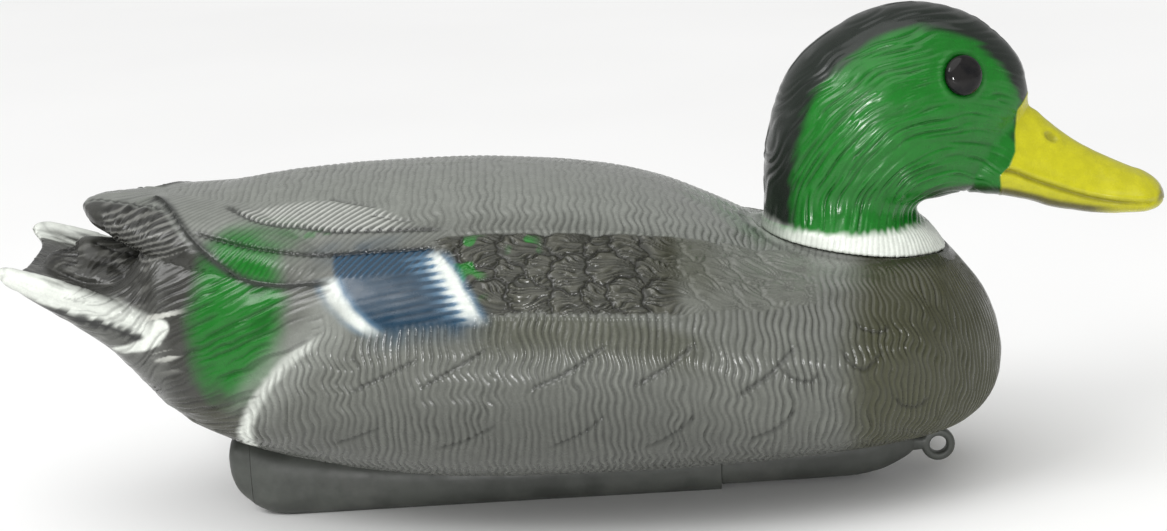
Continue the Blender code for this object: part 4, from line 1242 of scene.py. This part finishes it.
def build_keel():
    """Hollow tube, its front plug with the line eye, and the filler cap with its own plug."""
    tube = new_object("keel_bar", *skin(tube_part(CAP_SEAM, KEEL_STEP)))
    inside = new_object("inside", *skin(tube_part(CAP_SEAM - 3, KEEL_STEP + 3, KEEL_WALL)))
    cut(inside, spun_rings(((PILLAR_R, 60), (PILLAR_R, -10)), (SCREW_REAR, 0, 0), (0, 0, 1), 48))
    cut(tube, inside)
    cut(tube, screw_hole(SCREW_REAR))

    turn = np.linspace(0, 2 * np.pi, 49)
    spoke = np.stack((np.cos(turn), 0 * turn, np.sin(turn)), axis=1)
    loop = turns(24)
    across, out = superellipse(loop, 3.2, 3.2)
    ring = (
        EYELET + spoke[:, None] * (EYELET_R + EYELET_THICK * out)[None, :, None]
        + np.array((0, EYELET_HALF, 0)) * across[None, :, None]
    )
    stem = keel_rings(
        np.array((104.0, 116.2)), np.array((8.0, 8.9)), np.array((3.0, 2.1)),
        np.array((14.0, 13.1)), count=24
    )
    nose = fused("keel_front", [table_part(KEEL_NOSE, 1.0), ring, stem], NOSE_VOXEL)
    p = points_of(nose.data)
    set_points(nose.data, relaxed(p, edges_of(nose.data), 6))
    plug = tube_part(28.0, KEEL_STEP, KEEL_WALL + 0.1)
    cut(nose, np.concatenate((plug, plug[-1:] + (3, 0, 0))), "UNION")
    cut(nose, screw_hole(SCREW_FRONT))

    inset = np.array([KEEL_WALL + 0.45, KEEL_WALL + 0.45, KEEL_WALL + 1.45])
    cap_plug = keel_rings(
        np.array((-126.0, -113.0, -111.5)), 4.2 + inset, 13.0 - inset, 27.0 - inset, count=64
    )
    cap = joined("keel_end", [table_part(KEEL_CAP, 0.3), cap_plug])
    for obj in (tube, nose, cap):
        obj.data.shade_smooth()
        obj.data.set_sharp_from_angle(angle=SHARP)
    return tube, nose, cap


# ---- materials
class Nodes:
    """Short calls for building a material's node tree."""

    def __init__(self, name):
        self.material = bpy.data.materials.new(name)
        self.material.use_nodes = True
        self.tree = self.material.node_tree
        self.shader = self.tree.nodes["Principled BSDF"]
        self.coords = self.add("TexCoord").outputs["Object"]

    def add(self, kind, inputs=(), **values):
        """A node with its settings, and with values or other nodes' outputs on its inputs."""
        node = self.tree.nodes.new("ShaderNode" + kind)
        for key, value in values.items():
            setattr(node, key, value)
        for key, value in dict(inputs).items():
            self.link(value, node.inputs[key])
        return node

    def link(self, out, into):
        if hasattr(out, "is_output"):
            self.tree.links.new(out, into)
        else:
            into.default_value = out

    def noise(self, scale, detail=4.0, roughness=0.55, stretch=(1, 1, 1)):
        place = self.add("Mapping", {"Scale": stretch, "Vector": self.coords}).outputs["Vector"]
        inputs = {"Scale": scale, "Detail": detail, "Roughness": roughness, "Vector": place}
        return self.add("TexNoise", inputs).outputs["Fac"]

    def spread(self, value, lo, hi, a=0.0, b=1.0):
        inputs = {"From Min": lo, "From Max": hi, "To Min": a, "To Max": b, "Value": value}
        return self.add("MapRange", inputs, interpolation_type="SMOOTHSTEP").outputs["Result"]

    def mix(self, factor, a, b, blend="MIX"):
        inputs = {0: factor, 6: a, 7: b}
        return self.add("Mix", inputs, data_type="RGBA", blend_type=blend).outputs[2]

    def product(self, a, b):
        return self.add("Math", {0: a, 1: b}, operation="MULTIPLY").outputs[0]

    def bump(self, height, distance, strength):
        inputs = {"Strength": strength, "Distance": distance, "Height": height}
        return self.add("Bump", inputs).outputs["Normal"]

    def set(self, **inputs):
        for key, value in inputs.items():
            self.link(value, self.shader.inputs[key.replace("_", " ")])
        return self.material


def painted(name, gloss, coat):
    """Sprayed paint: colour from the paint layer, fine orange peel, scuffs on the high spots."""
    n = Nodes(name)
    paint = n.add("Attribute", attribute_name="paint").outputs["Color"]
    relief = n.add("Attribute", attribute_name="relief").outputs["Fac"]
    mottle = n.spread(n.noise(260, 5), 0.3, 0.7, 0.93, 1.05)
    grain = n.spread(n.noise(1500, 3), 0.3, 0.7, 0.96, 1.03)
    shade = n.product(mottle, grain)
    grey = n.add("CombineColor", {0: shade, 1: shade, 2: shade}).outputs[0]
    worn = n.product(n.spread(relief, 0.25, 0.9), n.spread(n.noise(420, 6, 0.7), 0.56, 0.68))
    return n.set(
        Base_Color=n.mix(
            n.product(worn, 0.22), n.mix(1.0, paint, grey, "MULTIPLY"), (0.42, 0.42, 0.40, 1)
        ),
        Roughness=n.spread(n.noise(180, 4), 0.3, 0.7, gloss - 0.05, gloss + 0.09),
        Normal=n.bump(n.noise(2100, 2), 0.00006, 0.35),
        Coat_Weight=coat, Coat_Roughness=0.14, Specular_IOR_Level=0.34,
    )


def plastic(name, colour, rough, grain=900.0, depth=0.00008):
    """Moulded plastic with a slightly uneven colour and sheen, and dust."""
    n = Nodes(name)
    dark = tuple(v * 0.78 for v in colour) + (1,)
    light = tuple(min(1, v * 1.25) for v in colour) + (1,)
    base = n.mix(n.spread(n.noise(70, 6, 0.6), 0.35, 0.68), dark, light)
    dust = n.spread(n.noise(28, 5, 0.65), 0.52, 0.75, 0.0, 0.22)
    return n.set(
        Base_Color=n.mix(dust, base, (0.20, 0.20, 0.185, 1)),
        Roughness=n.spread(n.noise(110, 4), 0.3, 0.7, rough - 0.07, rough + 0.1),
        Normal=n.bump(n.noise(grain, 3), depth, 0.4),
    )


def eye_gloss():
    n = Nodes("eye_gloss")
    base = n.mix(
        n.spread(n.noise(150, 3), 0.4, 0.6), (0.006, 0.006, 0.007, 1), (0.014, 0.013, 0.013, 1)
    )
    rough = n.spread(n.noise(300, 3), 0.3, 0.7, 0.06, 0.12)
    return n.set(Base_Color=base, Roughness=rough, Specular_IOR_Level=0.22)


def steel():
    n = Nodes("screw_steel")
    lines = n.noise(900, 3, 0.6, (1, 1, 0.15))
    base = n.mix(lines, (0.48, 0.48, 0.49, 1), (0.66, 0.66, 0.67, 1))
    return n.set(Base_Color=base, Roughness=n.spread(lines, 0.3, 0.7, 0.24, 0.4), Metallic=1.0)


def rubber():
    n = Nodes("washer_rubber")
    base = n.mix(n.noise(400, 4), (0.014, 0.014, 0.014, 1), (0.03, 0.03, 0.03, 1))
    return n.set(Base_Color=base, Roughness=n.spread(n.noise(300), 0.3, 0.7, 0.7, 0.85))


def dress(obj, material, body=None, stands_for=()):
    obj.data.materials.clear()
    obj.data.materials.append(material)
    if body:
        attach(obj, body)
    if stands_for:
        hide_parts(*stands_for)


# ---- the object
hull = build_hull()
head = build_head()
paint_hull = painted("sprayed_hull", 0.25, 0.1)
paint_head = painted("sprayed_head", 0.24, 0.12)
dress(hull, paint_hull, "hull", ("body_shell",))
dress(head, paint_head, "head", ("head_shell",))
gloss = eye_gloss()
for name, side in (("left", 1), ("right", -1)):
    dress(build_eye("eye_insert_" + name, side), gloss, "head", ("eye_" + name,))

keel = plastic("keel_plastic", (0.064, 0.069, 0.061), 0.45)
for piece, body, node in zip(
    build_keel(), ("hull", "hull", "cap"), ("keel_tube", "keel_nose", "keel_cap")
):
    dress(piece, keel, body, (node,))
sand = plastic("ballast_sand", (0.40, 0.32, 0.22), 0.9, 700, 0.0004)
vent = plastic("vent_plastic", (0.02, 0.02, 0.02), 0.6)
screw, washer = steel(), rubber()
looks = {
    "keel_ballast": sand, "vent_plug": vent, "keel_screw_front": screw, "keel_screw_rear": screw,
    "screw_washer_front": washer, "screw_washer_rear": washer,
}
for node, material in looks.items():
    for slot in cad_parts[node].material_slots:
        slot.material = material


# ---- studio and camera
FLOOR_REACH = 6000
WORLD_LIGHT, SKY_LIGHT, KEY_LIGHT, GLINT_LIGHT = 0.48, 1.6, 4.4, 3.4


def area_light(name, place, aim, size, power):
    light = bpy.data.lights.new(name, "AREA")
    light.shape = "RECTANGLE"
    light.size, light.size_y = size
    light.energy = power
    obj = in_scene(name, light)
    obj.location = place
    obj.rotation_euler = (Vector(aim) - Vector(place)).to_track_quat("-Z", "Y").to_euler()


def studio():
    corner_points = [
        (x * FLOOR_REACH, y * FLOOR_REACH, 0) for x, y in ((-1, -1), (1, -1), (1, 1), (-1, 1))
    ]
    floor = new_object("floor", corner_points, [(0, 1, 2, 3)])
    n = Nodes("studio_floor")
    tint = n.mix(n.spread(n.noise(3, 2), 0.3, 0.7), (0.93, 0.93, 0.925, 1), (0.955, 0.955, 0.95, 1))
    n.set(Base_Color=tint, Roughness=0.9)
    floor.data.materials.append(n.material)
    world = bpy.data.worlds.new("studio")
    world.use_nodes = True
    background = world.node_tree.nodes["Background"].inputs
    background["Color"].default_value = (1, 1, 1, 1)
    background["Strength"].default_value = WORLD_LIGHT
    bpy.context.scene.world = world
    sky = bpy.data.lights.new("sky", "SUN")
    sky.energy, sky.angle = SKY_LIGHT, 1.3
    in_scene("sky", sky).rotation_euler = (math.radians(22), math.radians(-14), 0)
    area_light("key", (-0.73, -0.62, 0.87), (0, 0, 0.07), (0.55, 0.40), KEY_LIGHT)
    area_light("glint", (0.08, -1.10, 0.19), (0.02, 0, 0.08), (0.08, 0.08), GLINT_LIGHT)


def camera():
    distance, rise, roll = 0.95, math.radians(14.0), math.radians(3.1)
    ahead = Vector((0, math.cos(rise), -math.sin(rise)))
    right = Vector((1, 0, 0))
    up = right.cross(ahead)
    right, up = (
        right * math.cos(roll) - up * math.sin(roll), right * math.sin(roll) + up * math.cos(roll)
    )
    place = Vector((-0.0026, 0, 0.0823)) - ahead * distance
    data = bpy.data.cameras.new("camera")
    data.sensor_width = 36.0
    data.lens = 83.8
    data.clip_start = 0.02
    obj = bpy.data.objects.new("camera", data)
    obj.matrix_world = Matrix(
        (
            (right.x, up.x, -ahead.x, place.x), (right.y, up.y, -ahead.y, place.y),
            (right.z, up.z, -ahead.z, place.z), (0, 0, 0, 1)
        )
    )
    bpy.context.scene.collection.objects.link(obj)
    bpy.context.scene.camera = obj


studio()
camera()
bpy.context.scene.view_settings.view_transform = "Standard"
bpy.context.scene.view_settings.look = "None"
